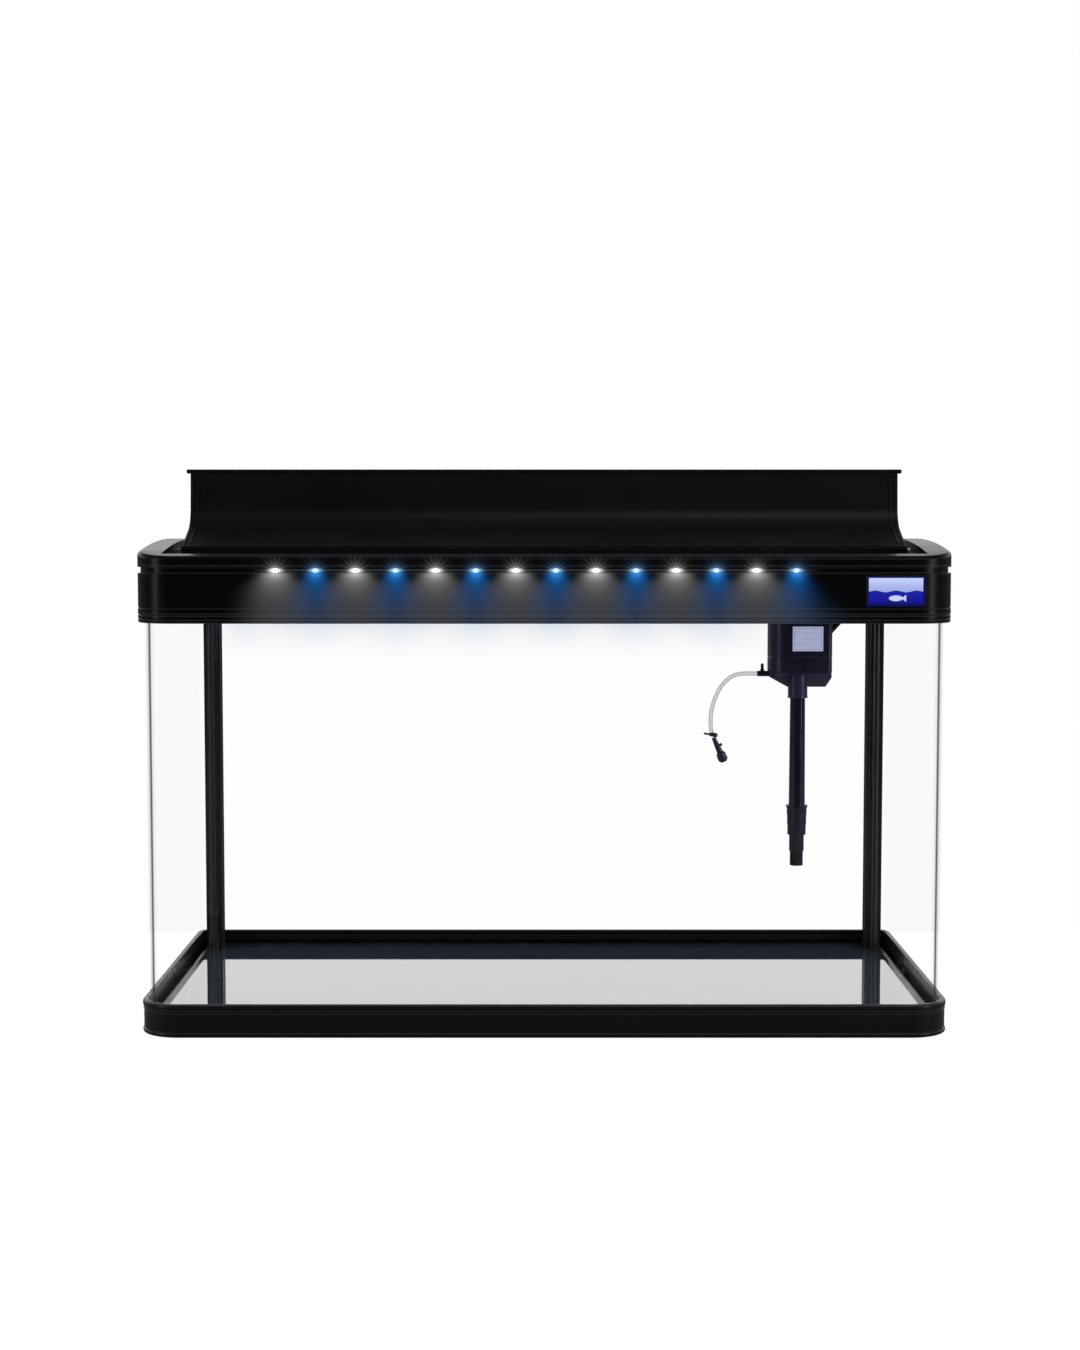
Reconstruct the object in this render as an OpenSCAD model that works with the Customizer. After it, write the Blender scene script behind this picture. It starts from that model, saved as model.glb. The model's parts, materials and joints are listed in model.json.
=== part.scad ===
// Desktop aquarium: a bent-glass tank on a moulded foot, under a lift-off hood with
// an opening feeding lid, a row of lamps and a pump that hangs inside the tank.
// X runs along the tank, +X to the right; Y runs from the front to the back; Z is up.
// The origin is at the bottom centre of the tank.

/* [Overall] */
// Length of the foot and the hood
tank_w = 600; // [540:10:760]
// Depth of the foot and the hood
tank_d = 300; // [280:10:400]
// Plan radius of the two front corners
front_r = 30; // [20:1:40]
// Plan radius of the two rear corners
rear_r = 10; // [8:0.5:14]
// Height at which the hood's lower edge sits
hood_z = 306; // [280:2:420]

/* [Foot] */
// Height of the foot's rim
foot_h = 25.5; // [22:0.5:40]
// Thickness of the foot's rim
foot_wall = 4.7; // [4:0.1:6]
// How far the soft pads hold the foot off the table
pad_proud = 0.8; // [0.4:0.1:1.5]
// Thickness of a soft pad
pad_t = 3; // [2:0.5:4]
// Width of the shelf under the glass
shelf_w = 26; // [20:1:40]
// Thickness of the shelf under the glass
shelf_t = 3.6; // [3:0.2:5]

/* [Glass] */
// Thickness of the panes
glass_t = 5; // [4:0.5:8]
// Gap between the glass and the foot's rim
glass_gap = 0.3; // [0.2:0.1:1]
// How far the glass reaches up into the hood
glass_rise = 14; // [10:1:18]
// Width of a rear corner post
post_w = 14; // [12:1:20]
// Side of the sealant bead round the floor
seal_w = 2.4; // [1.5:0.1:4]

/* [Hood] */
// Thickness of the hood's walls
hood_wall = 3; // [2.5:0.1:4]
// Height of the hood's lower ring
ring_h = 36.5; // [32:0.5:44]
// Height of the lamp groove
lamp_groove_h = 4.4; // [4:0.2:6]
// Depth of the lamp groove
lamp_groove_d = 2.2; // [1.8:0.1:2.4]
// Height of the front edge over the lamp groove
brow_h = 8; // [6:0.5:12]
// How much the side rims rise from the ends to the middle
arch_rise = 11.5; // [6:0.5:14]
// Width of the side rims
rim_w = 20; // [16:1:26]
// Width of the front and rear rims
sill_w = 12; // [9:0.5:14]
// Width of the ledge that rests on the glass
ledge_w = 14; // [12:1:18]
// Thickness of the hood's inner plates
plate_t = 3; // [2.5:0.1:4]
// Gap between the hood's pads and the glass
rest_gap = 0.3; // [0.2:0.1:0.5]

/* [Feeding lid] */
// Depth of the feeding opening behind the front rim
mouth_d = 72; // [60:1:76]
// Thickness of the lid
lid_t = 2.4; // [2:0.1:3]
// Radius of the hinge barrel
barrel_r = 3.2; // [3:0.1:4]
// Radius of a hinge pin
pin_r = 1.5; // [1.2:0.1:1.8]
// Running clearance of the hinge pins
pin_gap = 0.05; // [0.02:0.01:0.1]
// Gap between the lid's ends and the side rims
lid_gap = 1; // [0.6:0.1:3]
// Length of the lid's lower leg
leg_low = 33.4; // [28:0.2:34]
// Length of the lid's upper leg
leg_high = 26.5; // [24:0.5:34]
// Inner radius of the lid's bend
lid_bend_r = 20; // [16:1:24]

/* [Lamps] */
// Number of lamp lenses, white and blue in turn
lamp_count = 14; // [2:2:18]
// Distance from lens to lens
lamp_pitch = 29.1; // [20:0.1:30]
// Place of the middle of the row
lamp_mid_x = -6.2; // [-20:0.1:20]
// Radius of a lens
lamp_r = 1.7; // [1:0.1:1.9]

/* [Badge] */
// Width of the badge
badge_w = 43; // [20:1:60]
// Height of the badge
badge_h = 22.6; // [10:0.2:24]
// Distance of the badge's middle from the hood's end
badge_in = 45; // [36:1:80]
// Thickness of the badge
badge_t = 0.4; // [0.3:0.1:0.4]

/* [Filter] */
// Length of the filter tray
tray_w = 452; // [440:2:500]
// Depth of the filter tray from front to back
tray_d = 110; // [100:1:116]
// Distance of the tray's middle behind the tank's middle
tray_y = 67.5; // [66:0.5:68]
// Height of the tray's inside
tray_h = 34; // [30:1:36]
// Thickness of the tray's walls
tray_wall = 2; // [1.6:0.1:3]
// Height of the sponge
sponge_h = 8; // [5:0.5:9]
// Radius of the spray pipe
spray_r = 6; // [5:0.1:7]

/* [Pump] */
// Distance of the pump's middle from the tank's middle
pump_x = 209.6; // [190:0.2:214]
// Distance of the pump's middle behind the tank's middle
pump_y = 60; // [50:1:70]
// Width of the pump
pump_w = 50; // [40:1:54]
// Depth of the pump from front to back
pump_d = 44; // [36:1:50]
// Height of the pump's housing over its cover
pump_h = 45; // [42:1:48]
// Height of the pump's cover
cover_h = 13; // [10:0.5:16]
// Radius of the pump's rounded left corners
pump_round = 15; // [8:1:18]
// Gap between the filter tray and the pump
pump_drop = 12.7; // [11:0.1:16]
// Radius of the rotor
rotor_r = 9.3; // [7:0.1:11]
// Radius of the rotor's shaft
shaft_r = 1.2; // [1:0.1:1.6]
// Running clearance of the rotor on its shaft
shaft_gap = 0.05; // [0.02:0.01:0.1]
// Radius of the suction pipe at its lower end
pipe_r = 6.6; // [5.5:0.1:7.5]
// Length of the suction pipe below the pump
pipe_l = 100; // [60:2:120]
// Length of the strainer with its stepped sleeve
strainer_l = 50; // [40:1:60]

/* [Air line] */
// Radius of the air hose
hose_r = 2.15; // [1.8:0.05:2.5]
// Angle of the air valve from the vertical
valve_tilt = 24; // [0:1:40]

/* [Mains lead] */
// Radius of the lead
lead_r = 1.8; // [1.5:0.1:2.5]

/* [Hidden] */
$fn = 48;
eps = 0.01;

half_w = tank_w / 2;
least_r = 0.5;
half_d = tank_d / 2;

// Foot and glass
foot_z = pad_proud;
shelf_z = 3.8;
shelf_top = shelf_z + shelf_t;
floor_top = shelf_top + glass_t;
glass_in = foot_wall + glass_gap;
pane_in = glass_in + glass_t;
glass_top = hood_z + glass_rise;
bond = 0.1;
pad_size = [40, 10];
rib_count = 3;
rib_w = 20;
pane_w = half_w - pane_in;
pane_y = half_d - pane_in;

// Hood
ring_top = hood_z + ring_h;
brow_z = ring_top + lamp_groove_h;
brow_top = brow_z + brow_h;
arch_top = brow_top + arch_rise;
arch_r = (half_d * half_d + arch_rise * arch_rise) / (2 * arch_rise);
seat_t = 1.5;
seat_z = glass_top + rest_gap;
ledge_z = seat_z + seat_t;
mouth_w = tank_w - 2 * rim_w;
mouth_y = -half_d + sill_w;
deck_top = brow_top - 3;
deck_z = deck_top - plate_t;
deck_front = mouth_y + mouth_d + 6;

// Lid: the hinge axis, and its section seen along X, from the axis
hinge_y = mouth_y + mouth_d;
hinge_z = brow_top + 3.5;
lid_w = mouth_w - 2 * lid_gap - 6;
flange_w = mouth_w - 2 * lid_gap;
leg_low_tilt = 22;
leg_high_tilt = 86;
flange_l = 6;
lid_face = barrel_r - 0.2;
bend_steps = 12;
pin_l = 16;
knuckle_depth = 12;
hem_h = 7.4;
hem_low = hinge_z - 4.5;
hem_front = hinge_y - barrel_r - 3;
hem_back = hinge_y - 1.6;

// Badge
badge_z = hood_z + 23.8;

// Lamps
lamp_z = ring_top + lamp_groove_h / 2;
lamp_bar_l = (lamp_count - 1) * lamp_pitch + 26;
lens_l = 1.6;
bar_t = 2.6;

// Filter
tray_floor_z = deck_z - tray_h;
hatch_gap = 0.5;
hatch_t = 2.4;
flange_t = 1.4;
step_w = 4;
drain_count = 9;
spray_z = tray_floor_z + tray_wall + sponge_h + spray_r + 2;
spray_l = tray_w - 50;
spray_holes = 13;

// Pump
pump_top = tray_floor_z - pump_drop;
pump_z = pump_top - pump_h;
cover_z = pump_z - cover_h;
pump_left = pump_x - pump_w / 2;
pump_right = pump_x + pump_w / 2;
pump_front = pump_y - pump_d / 2;
spout_r = 7.5;
spout_bore = 5;
spout_x = pump_x - 5;
well_h = 27;
chamber_r = 15;
chamber_h = 8;
shaft_top = pump_z + chamber_h + well_h + 3;
shaft_low = cover_z + 6;
pipe_x = pump_x - 2.2;
pipe_y = pump_front + 9;
collar_r = 8;
collar_z = cover_z - 8;
collar_depth = 6;
pipe_bore = 4.5;
pipe_top = collar_z + collar_depth;
pipe_low = pipe_top - pipe_l;
sleeve_grip = 6;
sleeve_top = pipe_low + sleeve_grip;
sleeve_l = 24.5;
sleeve_gap = 0.3;
strainer_low = sleeve_top - strainer_l;
label_size = [24.8, 20];

// Air line
nipple_z = cover_z + 10.8;
nipple_l = 9;
nipple_r = 2.3;
screw_x = pump_left - 5;
tube_start = [pump_left, pump_y, nipple_z];
tube_route = [
  [-9.1, 0, 0], [-19.6, 0, 0], [-26.6, 0, -1], [-31.6, 0, -3.5], [-35.6, 0, -7],
  [-39.6, 0, -12], [-42.6, 0, -18], [-45.1, 0, -24.5], [-46.6, 0, -31], [-47.1, 0, -37.5],
  [-47.1, 0, -43], [-46.6, 0, -47], [-45.6, 0, -51]
];
tube_path = [for (p = tube_route) tube_start + p];
valve_top = tube_start + [-45.1, 0, -52];
valve_l = 13;
valve_r = 2.6;
knob_l = 9;
knob_r = 4;

// Mains lead: inside the hood, then from the gland down behind the right rear post
boot_at = [pump_right - 3.6, pump_y, pump_top - 16.2];
boot_l = 20;
gland_at = [tank_w / 2 - 13, tank_d / 2, hood_z + 25];
gland_r = 4;
inlet_r = 2.75;
inlet_x = -tank_w / 2 + 35;
// Shares of the way from the boot to the gland
inner_start = boot_at + [14, 0, 14];
inner_way = gland_at - [0, 6, 0] - inner_start;
inner_route = [
  [0, 0, 0], [0.167, 0, 0.226], [0.333, 0.024, 0.452], [0.476, 0.095, 0.645], [0.619, 0.214, 0.806],
  [0.762, 0.381, 0.935], [0.881, 0.548, 1], [0.976, 0.714, 1], [1, 0.881, 1], [1, 1, 1]
];
inner_path = [for (p = inner_route)
  inner_start + [p[0] * inner_way[0], p[1] * inner_way[1], p[2] * inner_way[2]]];
// Outside: the bend below the gland, the drop in shares of its height, then the run along the floor
outer_bend = [[0, 9, 0], [0, 16, 0], [0, 23, -2], [0, 29, -7], [0, 32, -15], [0, 33, -27]];
outer_drop = [[32, 0.846], [30, 0.725], [28, 0.604], [27, 0.483], [26, 0.363], [25, 0.242]];
outer_floor = [
  [0, 24, 50], [-1, 23, 30], [-5, 22, 16], [-12, 21, 8], [-21, 20, 4], [-31, 20, 3], [-41, 20, 3]
];
outer_path = concat(
  [for (p = outer_bend) gland_at + p],
  [for (p = outer_drop) [gland_at[0], gland_at[1] + p[0], gland_at[2] * p[1]]],
  [for (p = outer_floor) [gland_at[0] + p[0], gland_at[1] + p[1], p[2]]]
);
hank_at = [gland_at[0] - 81, gland_at[1] + 20, 1];
hank_run = 44;
hank_w = 32.4;
hank_h = 10.8;
tie_w = 8;
tie_t = 0.8;
plug_at = [gland_at[0] - 175, gland_at[1] + 20, 0];
plug_size = [36, 26, 13.6];
prong_r = 2;
prong_l = 19;
prong_gap = 18.6;
prong_grip = 3;

// ---- Shared shapes ----

// The tank's outline, pushed in on every side
module plan(inset) {
  w = half_w - inset;
  d = half_d - inset;
  rf = max(front_r - inset, least_r);
  rr = max(rear_r - inset, least_r);
  translate([-w, rf - d])
    square([2 * w, 2 * d - rf - rr]);
  translate([rf - w, -d])
    square([2 * (w - rf), d]);
  translate([rr - w, 0])
    square([2 * (w - rr), d]);
  for (s = [-1, 1]) {
    translate([s * (w - rf), rf - d])
      circle(rf);
    translate([s * (w - rr), d - rr])
      circle(rr);
  }
}

// A closed band of the outline between two insets
module band(outer, inner, z, h) {
  translate([0, 0, z])
    linear_extrude(h)
      difference() {
        plan(outer);
        plan(inner);
      }
}

// Carries a wall section round the outline. The section's x runs outwards from the inset line.
module swept(inset) {
  w = half_w - inset;
  d = half_d - inset;
  rf = front_r - inset;
  rr = rear_r - inset;
  translate([rr - w, d, 0])
    rotate([90, 0, 90])
      linear_extrude(2 * (w - rr))
        children();
  translate([w - rf, -d, 0])
    rotate([90, 0, -90])
      linear_extrude(2 * (w - rf))
        children();
  translate([w, d - rr, 0])
    rotate([90, 0, 0])
      linear_extrude(2 * d - rf - rr)
        children();
  translate([-w, rf - d, 0])
    rotate([90, 0, 180])
      linear_extrude(2 * d - rf - rr)
        children();
  translate([w - rr, d - rr, 0])
    rotate_extrude(angle = 90)
      translate([rr, 0])
        children();
  translate([rr - w, d - rr, 0])
    rotate([0, 0, 90])
      rotate_extrude(angle = 90)
        translate([rr, 0])
          children();
  translate([rf - w, rf - d, 0])
    rotate([0, 0, 180])
      rotate_extrude(angle = 90)
        translate([rf, 0])
          children();
  translate([w - rf, rf - d, 0])
    rotate([0, 0, -90])
      rotate_extrude(angle = 90)
        translate([rf, 0])
          children();
}

// Both ends of something that is the same on the left and the right
module both_ends() {
  children();
  mirror([1, 0, 0])
    children();
}

// A box from its lowest and highest corners
module block(low, high) {
  translate(low)
    cube(high - low);
}

// A tube swept along a route: rings stand on the mean of the two directions at each point
function heading(path, i) =
  let (a = path[max(i - 1, 0)], b = path[min(i + 1, len(path) - 1)], d = b - a)
    d / norm(d);
function side_of(t) =
  let (s = cross(t, abs(t[1]) < 0.8 ? [0, 1, 0] : [1, 0, 0]))
    s / norm(s);
function ring_at(path, i, r, sides) =
  let (t = heading(path, i), u = side_of(t), v = cross(t, u))
    [for (k = [0:sides - 1])
      path[i] + r * (cos(360 * k / sides) * u + sin(360 * k / sides) * v)];

module tube(path, r, sides) {
  n = len(path);
  skin = [for (i = [0:n - 2], k = [0:sides - 1])
    [i * sides + k, i * sides + (k + 1) % sides,
      (i + 1) * sides + (k + 1) % sides, (i + 1) * sides + k]];
  first = [for (k = [0:sides - 1]) sides - 1 - k];
  last = [for (k = [0:sides - 1]) (n - 1) * sides + k];
  polyhedron(
    points = [for (i = [0:n - 1]) each ring_at(path, i, r, sides)],
    faces = [first, each skin, last],
    convexity = 10
  );
}

// ---- Tank ----

module foot_section() {
  bead_r = 2.2;
  face_in = 0.8;
  line_r = 0.5;
  face_low = 4.1;
  face_high = 17.5;
  roll_r = (face_low - foot_z) / 2;
  translate([0, foot_z])
    square([foot_wall - roll_r, face_low - foot_z]);
  translate([foot_wall - roll_r, foot_z + roll_r])
    circle(roll_r);
  translate([0, face_low])
    square([foot_wall - face_in, foot_h - face_low - bead_r]);
  for (z = [face_high + 1.1, face_high + 3.2])
    translate([foot_wall - face_in, z])
      circle(line_r, $fn = 24);
  translate([0, foot_h - 2 * bead_r])
    square([foot_wall - bead_r, 2 * bead_r]);
  translate([foot_wall - bead_r, foot_h - bead_r])
    circle(bead_r);
}

// Moulded foot: rim, shelf and cross ribs under the floor pane
module base_frame() {
  color([0.05, 0.05, 0.06]) {
    swept(foot_wall)
      foot_section();
    band(foot_wall - 1, foot_wall + shelf_w, shelf_z, shelf_t);
    for (i = [1:rib_count])
      block([(i / (rib_count + 1) - 0.5) * tank_w - rib_w / 2, shelf_w - half_d, shelf_z],
        [(i / (rib_count + 1) - 0.5) * tank_w + rib_w / 2, half_d - shelf_w, shelf_top]);
  }
}

// Soft pads under the shelf, on which the tank stands
module foot_pads() {
  pad_y = half_d - foot_wall - shelf_w / 2;
  color([0.2, 0.2, 0.21])
    for (x = [-1, 0, 1], y = [-1, 1])
      translate([x * (half_w - 60) - pad_size[0] / 2, y * pad_y - pad_size[1] / 2, 0])
        cube([pad_size[0], pad_size[1], shelf_z]);
}

// Floor pane, inside the walls
module floor_glass() {
  color([0.78, 0.82, 0.82, 0.5])
    translate([0, 0, shelf_top])
      linear_extrude(glass_t)
        difference() {
          plan(pane_in + bond);
          for (s = [-1, 1])
            translate([s * (pane_w - post_w / 2), pane_y - post_w / 2])
              square(post_w + 2 * bond, center = true);
        }
}

// Front and both sides, bent from one sheet
module bent_glass() {
  color([0.8, 0.9, 0.9, 0.35])
    difference() {
      band(glass_in, pane_in, shelf_top, glass_top - shelf_top);
      block([-half_w, half_d - glass_in - eps, shelf_top - 1], [half_w, half_d, glass_top + 1]);
      block([-pane_w, half_d - rear_r - glass_t, shelf_top - 1],
        [pane_w, half_d, glass_top + 1]);
    }
}

// Rear pane, between the ends of the bent sheet
module back_glass() {
  color([0.8, 0.9, 0.9, 0.35])
    block([bond - pane_w, pane_y + bond, shelf_top],
      [pane_w - bond, pane_y + glass_t, glass_top]);
}

// Ribbed post in a rear corner, at the right
module post() {
  flute_r = 1.3;
  x = pane_w - post_w;
  y = pane_y - post_w;
  translate([0, 0, shelf_top])
    linear_extrude(glass_top - shelf_top)
      difference() {
        translate([x, y])
          square(post_w - bond);
        for (i = [1:3]) {
          translate([x + i * post_w / 4, y])
            circle(flute_r, $fn = 24);
          translate([x, y + i * post_w / 4])
            circle(flute_r, $fn = 24);
        }
      }
}

module right_rear_post() {
  color([0.05, 0.05, 0.06])
    post();
}

module left_rear_post() {
  color([0.05, 0.05, 0.06])
    mirror([1, 0, 0])
      post();
}

// Sealant bead where the floor meets the walls
module floor_seal() {
  color([0.25, 0.27, 0.3, 0.8])
    difference() {
      band(pane_in + bond, pane_in + bond + seal_w, floor_top, seal_w);
      for (s = [-1, 1])
        translate([s * (pane_w - post_w / 2), pane_y - post_w / 2, floor_top])
          cube([post_w + 2 * bond, post_w + 2 * bond, 4 * seal_w], center = true);
    }
}

// ---- Hood ----

module hood_section() {
  lip_r = 1.5;
  line_w = 0.6;
  line_d = 0.7;
  line_z = [2.7, 5.7, 10.6];
  difference() {
    union() {
      translate([0, hood_z + lip_r])
        square([hood_wall, ring_h - lip_r]);
      translate([0, hood_z])
        square([hood_wall - lip_r, 2 * lip_r]);
      translate([hood_wall - lip_r, hood_z + lip_r])
        circle(lip_r);
    }
    for (z = line_z)
      translate([hood_wall - line_d, hood_z + z])
        square([line_d + 1, line_w]);
  }
}

// Lower ring of the hood, with the ledge that rests on the glass
module hood_frame() {
  badge_x = half_w - badge_in;
  color([0.04, 0.04, 0.05])
    difference() {
      union() {
        swept(hood_wall)
          hood_section();
        band(hood_wall - 1, hood_wall + ledge_w, ledge_z, plate_t);
      }
      block([badge_x - badge_w / 2, -half_d - 1, badge_z - badge_h / 2],
        [badge_x + badge_w / 2, badge_t - half_d, badge_z + badge_h / 2]);
      translate(gland_at + [0, 1, 0])
        rotate([90, 0, 0])
          cylinder(h = hood_wall + 2, r = gland_r);
      translate([inlet_x, half_d + 1, gland_at[2]])
        rotate([90, 0, 0])
          cylinder(h = hood_wall + 2, r = gland_r);
    }
}

// Pads between the hood's ledge and the glass
module seat_pads() {
  color([0.2, 0.2, 0.2])
    for (x = [-1, 0, 1], s = [-1, 1])
      translate([x * (half_w - 90) - 15, s * (pane_y + glass_t / 2) - glass_t / 2, seat_z])
        cube([30, glass_t, seat_t]);
}

module arch(drop) {
  translate([0, 0, arch_top - arch_r])
    rotate([0, 90, 0])
      cylinder(h = tank_w + 2, r = arch_r - drop, center = true, $fn = 360);
}

// Upper frame: arched rims round the feeding opening and the rear deck
module top_frame() {
  well = half_d - sill_w;
  color([0.04, 0.04, 0.05]) {
    difference() {
      intersection() {
        translate([0, 0, ring_top])
          linear_extrude(arch_top - ring_top)
            plan(0);
        arch(0);
      }
      intersection() {
        translate([0, 0, ring_top - 1])
          linear_extrude(arch_top - ring_top)
            plan(hood_wall + lamp_groove_d - 1);
        arch(plate_t);
      }
      block([-mouth_w / 2, -well, ring_top - 1], [mouth_w / 2, well, arch_top + 1]);
      band(-1, lamp_groove_d, ring_top - eps, lamp_groove_h + eps);
      lamp_slot();
      both_ends()
        translate([mouth_w / 2 - 1, hinge_y, hinge_z])
          rotate([0, 90, 0])
            cylinder(h = pin_l - knuckle_depth + 1, r = pin_r);
    }
    rim_skirt(well);
    deck(well);
  }
}

// Downward skirt round the inside of the rims
module rim_skirt(well) {
  difference() {
    intersection() {
      block([-mouth_w / 2 - plate_t, -well - plate_t, deck_z],
        [mouth_w / 2 + plate_t, well + plate_t, arch_top]);
      arch(1);
    }
    block([-mouth_w / 2, -well, deck_z - 1], [mouth_w / 2, well, arch_top + 1]);
    both_ends()
      translate([mouth_w / 2 - 1, hinge_y, hinge_z])
        rotate([0, 90, 0])
          cylinder(h = pin_l - knuckle_depth + 1, r = pin_r);
  }
}

// Rear deck with the stepped opening that holds the filter tray and its hatch
module deck(well) {
  hatch_y = [tray_y - tray_d / 2 - step_w, tray_y + tray_d / 2 + step_w];
  hatch_x = tray_w / 2 + step_w;
  difference() {
    block([-mouth_w / 2 - eps, deck_front, deck_z - plate_t], [mouth_w / 2 + eps, well + eps, deck_top]);
    block([-hatch_x, hatch_y[0], deck_z], [hatch_x, hatch_y[1], deck_top + 1]);
    block([-hatch_x + step_w - 0.3, hatch_y[0] + step_w - 0.3, deck_z - plate_t - 1],
      [hatch_x - step_w + 0.3, hatch_y[1] - step_w + 0.3, deck_z + 1]);
    for (s = [-1, 1])
      translate([s * (hatch_x + 18), tray_y, deck_z - plate_t - 1])
        cylinder(h = 2 * plate_t + 2, r = 6);
  }
}

// Room for the lamp bar behind the groove
module lamp_slot() {
  block([lamp_mid_x - lamp_bar_l / 2, -half_d - 1, ring_top - eps],
    [lamp_mid_x + lamp_bar_l / 2, lamp_groove_d + bar_t - half_d, brow_z]);
}

// Pins that the lid turns on, fast in the side rims
module hinge_pins() {
  color([0.6, 0.6, 0.62])
    both_ends()
      translate([mouth_w / 2 + pin_l - knuckle_depth, hinge_y, hinge_z])
        rotate([0, -90, 0])
          cylinder(h = pin_l + lid_gap + 3, r = pin_r);
}

// ---- Lamps ----

function lamp_x(i) = lamp_mid_x + (i - (lamp_count - 1) / 2) * lamp_pitch;

// Strip that carries the lenses
module led_bar() {
  color([0.08, 0.08, 0.1])
    block([lamp_mid_x - lamp_bar_l / 2 + 0.2, lamp_groove_d - half_d, ring_top + 0.1],
      [lamp_mid_x + lamp_bar_l / 2 - 0.2, lamp_groove_d + bar_t - 0.2 - half_d, brow_z - 0.1]);
}

module lens(i) {
  translate([lamp_x(i), lamp_groove_d - half_d, lamp_z])
    rotate([90, 0, 0]) {
      cylinder(h = lens_l, r = lamp_r);
      translate([0, 0, lens_l - lamp_r * 0.6])
        intersection() {
          sphere(lamp_r);
          cylinder(h = lamp_groove_d - lens_l + lamp_r * 0.6 - 0.1, r = lamp_r);
        }
    }
}

module white_leds() {
  color([0.95, 0.97, 1])
    for (i = [0:2:lamp_count - 1])
      lens(i);
}

module blue_leds() {
  color([0.3, 0.6, 1])
    for (i = [1:2:lamp_count - 1])
      lens(i);
}

// Sealed driver for the lamps, under the deck
module led_driver() {
  size = [36, 60, 16];
  color([0.15, 0.15, 0.16])
    translate([-mouth_w / 2 + 4, 0, deck_z - plate_t - size[2]])
      cube([size[0] - 8, size[1], size[2]]);
}

// Socket for the lamps' supply, in the rear wall
module lamp_inlet() {
  color([0.1, 0.1, 0.1])
    translate([inlet_x, half_d - 0.2, gland_at[2]])
      rotate([90, 0, 0])
        difference() {
          union() {
            cylinder(h = 12, r = gland_r - 0.05);
            translate([0, 0, hood_wall])
              cylinder(h = 2, r = gland_r + 2);
          }
          translate([0, 0, -1])
            cylinder(h = 10, r = inlet_r);
        }
}

// Enamel plate on the front of the hood
module badge() {
  fit = 0.1;
  color([0.2, 0.25, 0.7])
    block([half_w - badge_in - badge_w / 2 + fit, -half_d, badge_z - badge_h / 2 + fit],
      [half_w - badge_in + badge_w / 2 - fit, badge_t - half_d, badge_z + badge_h / 2 - fit]);
}

// ---- Feeding lid ----

// The lid's section seen along X, from the hinge: x runs back and y runs up.
// A line of it lies a given depth behind the front face and starts and stops short of the ends.
function along(tilt) = [cos(tilt), sin(tilt)];
function lid_centre() =
  leg_low * along(leg_low_tilt) + (lid_face + lid_bend_r) * along(leg_low_tilt + 90);
function lid_low(depth, short) =
  short * along(leg_low_tilt) + (lid_face - depth) * along(leg_low_tilt + 90);
function lid_tip(depth, short) =
  lid_centre() + (lid_bend_r + depth) * along(leg_high_tilt - 90)
  + (leg_high - short) * along(leg_high_tilt);
function lid_line(depth, short) = [
  lid_low(depth, short),
  for (k = [0:bend_steps])
    lid_centre() + (lid_bend_r + depth)
      * along(leg_low_tilt - 90 + (leg_high_tilt - leg_low_tilt) * k / bend_steps),
  lid_tip(depth, short)
];
function backwards(list) = [for (i = [len(list) - 1:-1:0]) list[i]];

module lid_strip(front, back, short) {
  polygon(concat(lid_line(front, short), backwards(lid_line(back, short))));
}

// Lays a section seen along X between the lid's two ends
module along_lid(w) {
  translate([-w / 2, hinge_y, hinge_z])
    rotate([90, 0, 90])
      linear_extrude(w)
        children();
}

module lid_panel() {
  color([0.05, 0.05, 0.06])
    difference() {
      union() {
        along_lid(lid_w)
          lid_strip(0, lid_t, 0);
        translate([0, hinge_y, hinge_z])
          rotate([0, 90, 0])
            cylinder(h = lid_w, r = barrel_r, center = true);
      }
      both_ends()
        translate([lid_w / 2 - knuckle_depth, hinge_y, hinge_z])
          rotate([0, 90, 0])
            cylinder(h = knuckle_depth + 1, r = pin_r + pin_gap);
    }
}

// Ribbed hem along the front of the hinge barrel
module lid_hem() {
  line_r = 0.5;
  color([0.06, 0.06, 0.07])
    difference() {
      union() {
        block([-lid_w / 2, hem_front, hem_low], [lid_w / 2, hem_back, hem_low + hem_h]);
        for (z = [hem_h / 5, hem_h * 3 / 4])
          translate([0, hem_front, hem_low + z])
            rotate([0, 90, 0])
              cylinder(h = lid_w, r = line_r, center = true, $fn = 24);
      }
      translate([0, hinge_y, hinge_z])
        rotate([0, 90, 0])
          cylinder(h = lid_w + 2, r = barrel_r, center = true);
    }
}

// Finger lip along the lid's free edge
module lid_flange() {
  lip_r = 1.6;
  color([0.05, 0.05, 0.06])
    along_lid(flange_w)
      translate(lid_tip(0, 0)) {
        translate([-0.6, 0])
          square([flange_l, 2 * lip_r]);
        translate([flange_l - 0.6, lip_r])
          circle(lip_r);
      }
}

// Stiffening ribs along the lid's two ends
module lid_end_ribs() {
  rib_t = 1.6;
  color([0.05, 0.05, 0.06])
    both_ends()
      for (x = [2.8, 6.8])
        translate([lid_w / 2 - x, hinge_y, hinge_z])
          rotate([90, 0, 90])
            linear_extrude(rib_t)
              lid_strip(-0.8, 0, barrel_r + 1);
}

// Lift-off cover over the filter tray
module rear_hatch() {
  z = deck_z + flange_t + 0.3;
  color([0.06, 0.06, 0.07])
    difference() {
      block([hatch_gap - tray_w / 2 - step_w, tray_y - tray_d / 2 - step_w + hatch_gap, z],
        [tray_w / 2 + step_w - hatch_gap, tray_y + tray_d / 2 + step_w - hatch_gap, z + hatch_t]);
      for (i = [-6:6])
        translate([i * 30, tray_y + 30, z - 1])
          cylinder(h = hatch_t + 2, r = 4);
    }
}

// Low grip on the hatch
module hatch_grip() {
  z = deck_z + flange_t + 0.3 + hatch_t;
  color([0.1, 0.1, 0.11])
    difference() {
      block([-30, tray_y - 24, z], [30, tray_y - 12, z + 9]);
      block([-24, tray_y - 25, z + 2.5], [24, tray_y - 15, z + 7]);
    }
}

// ---- Filter ----

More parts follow.
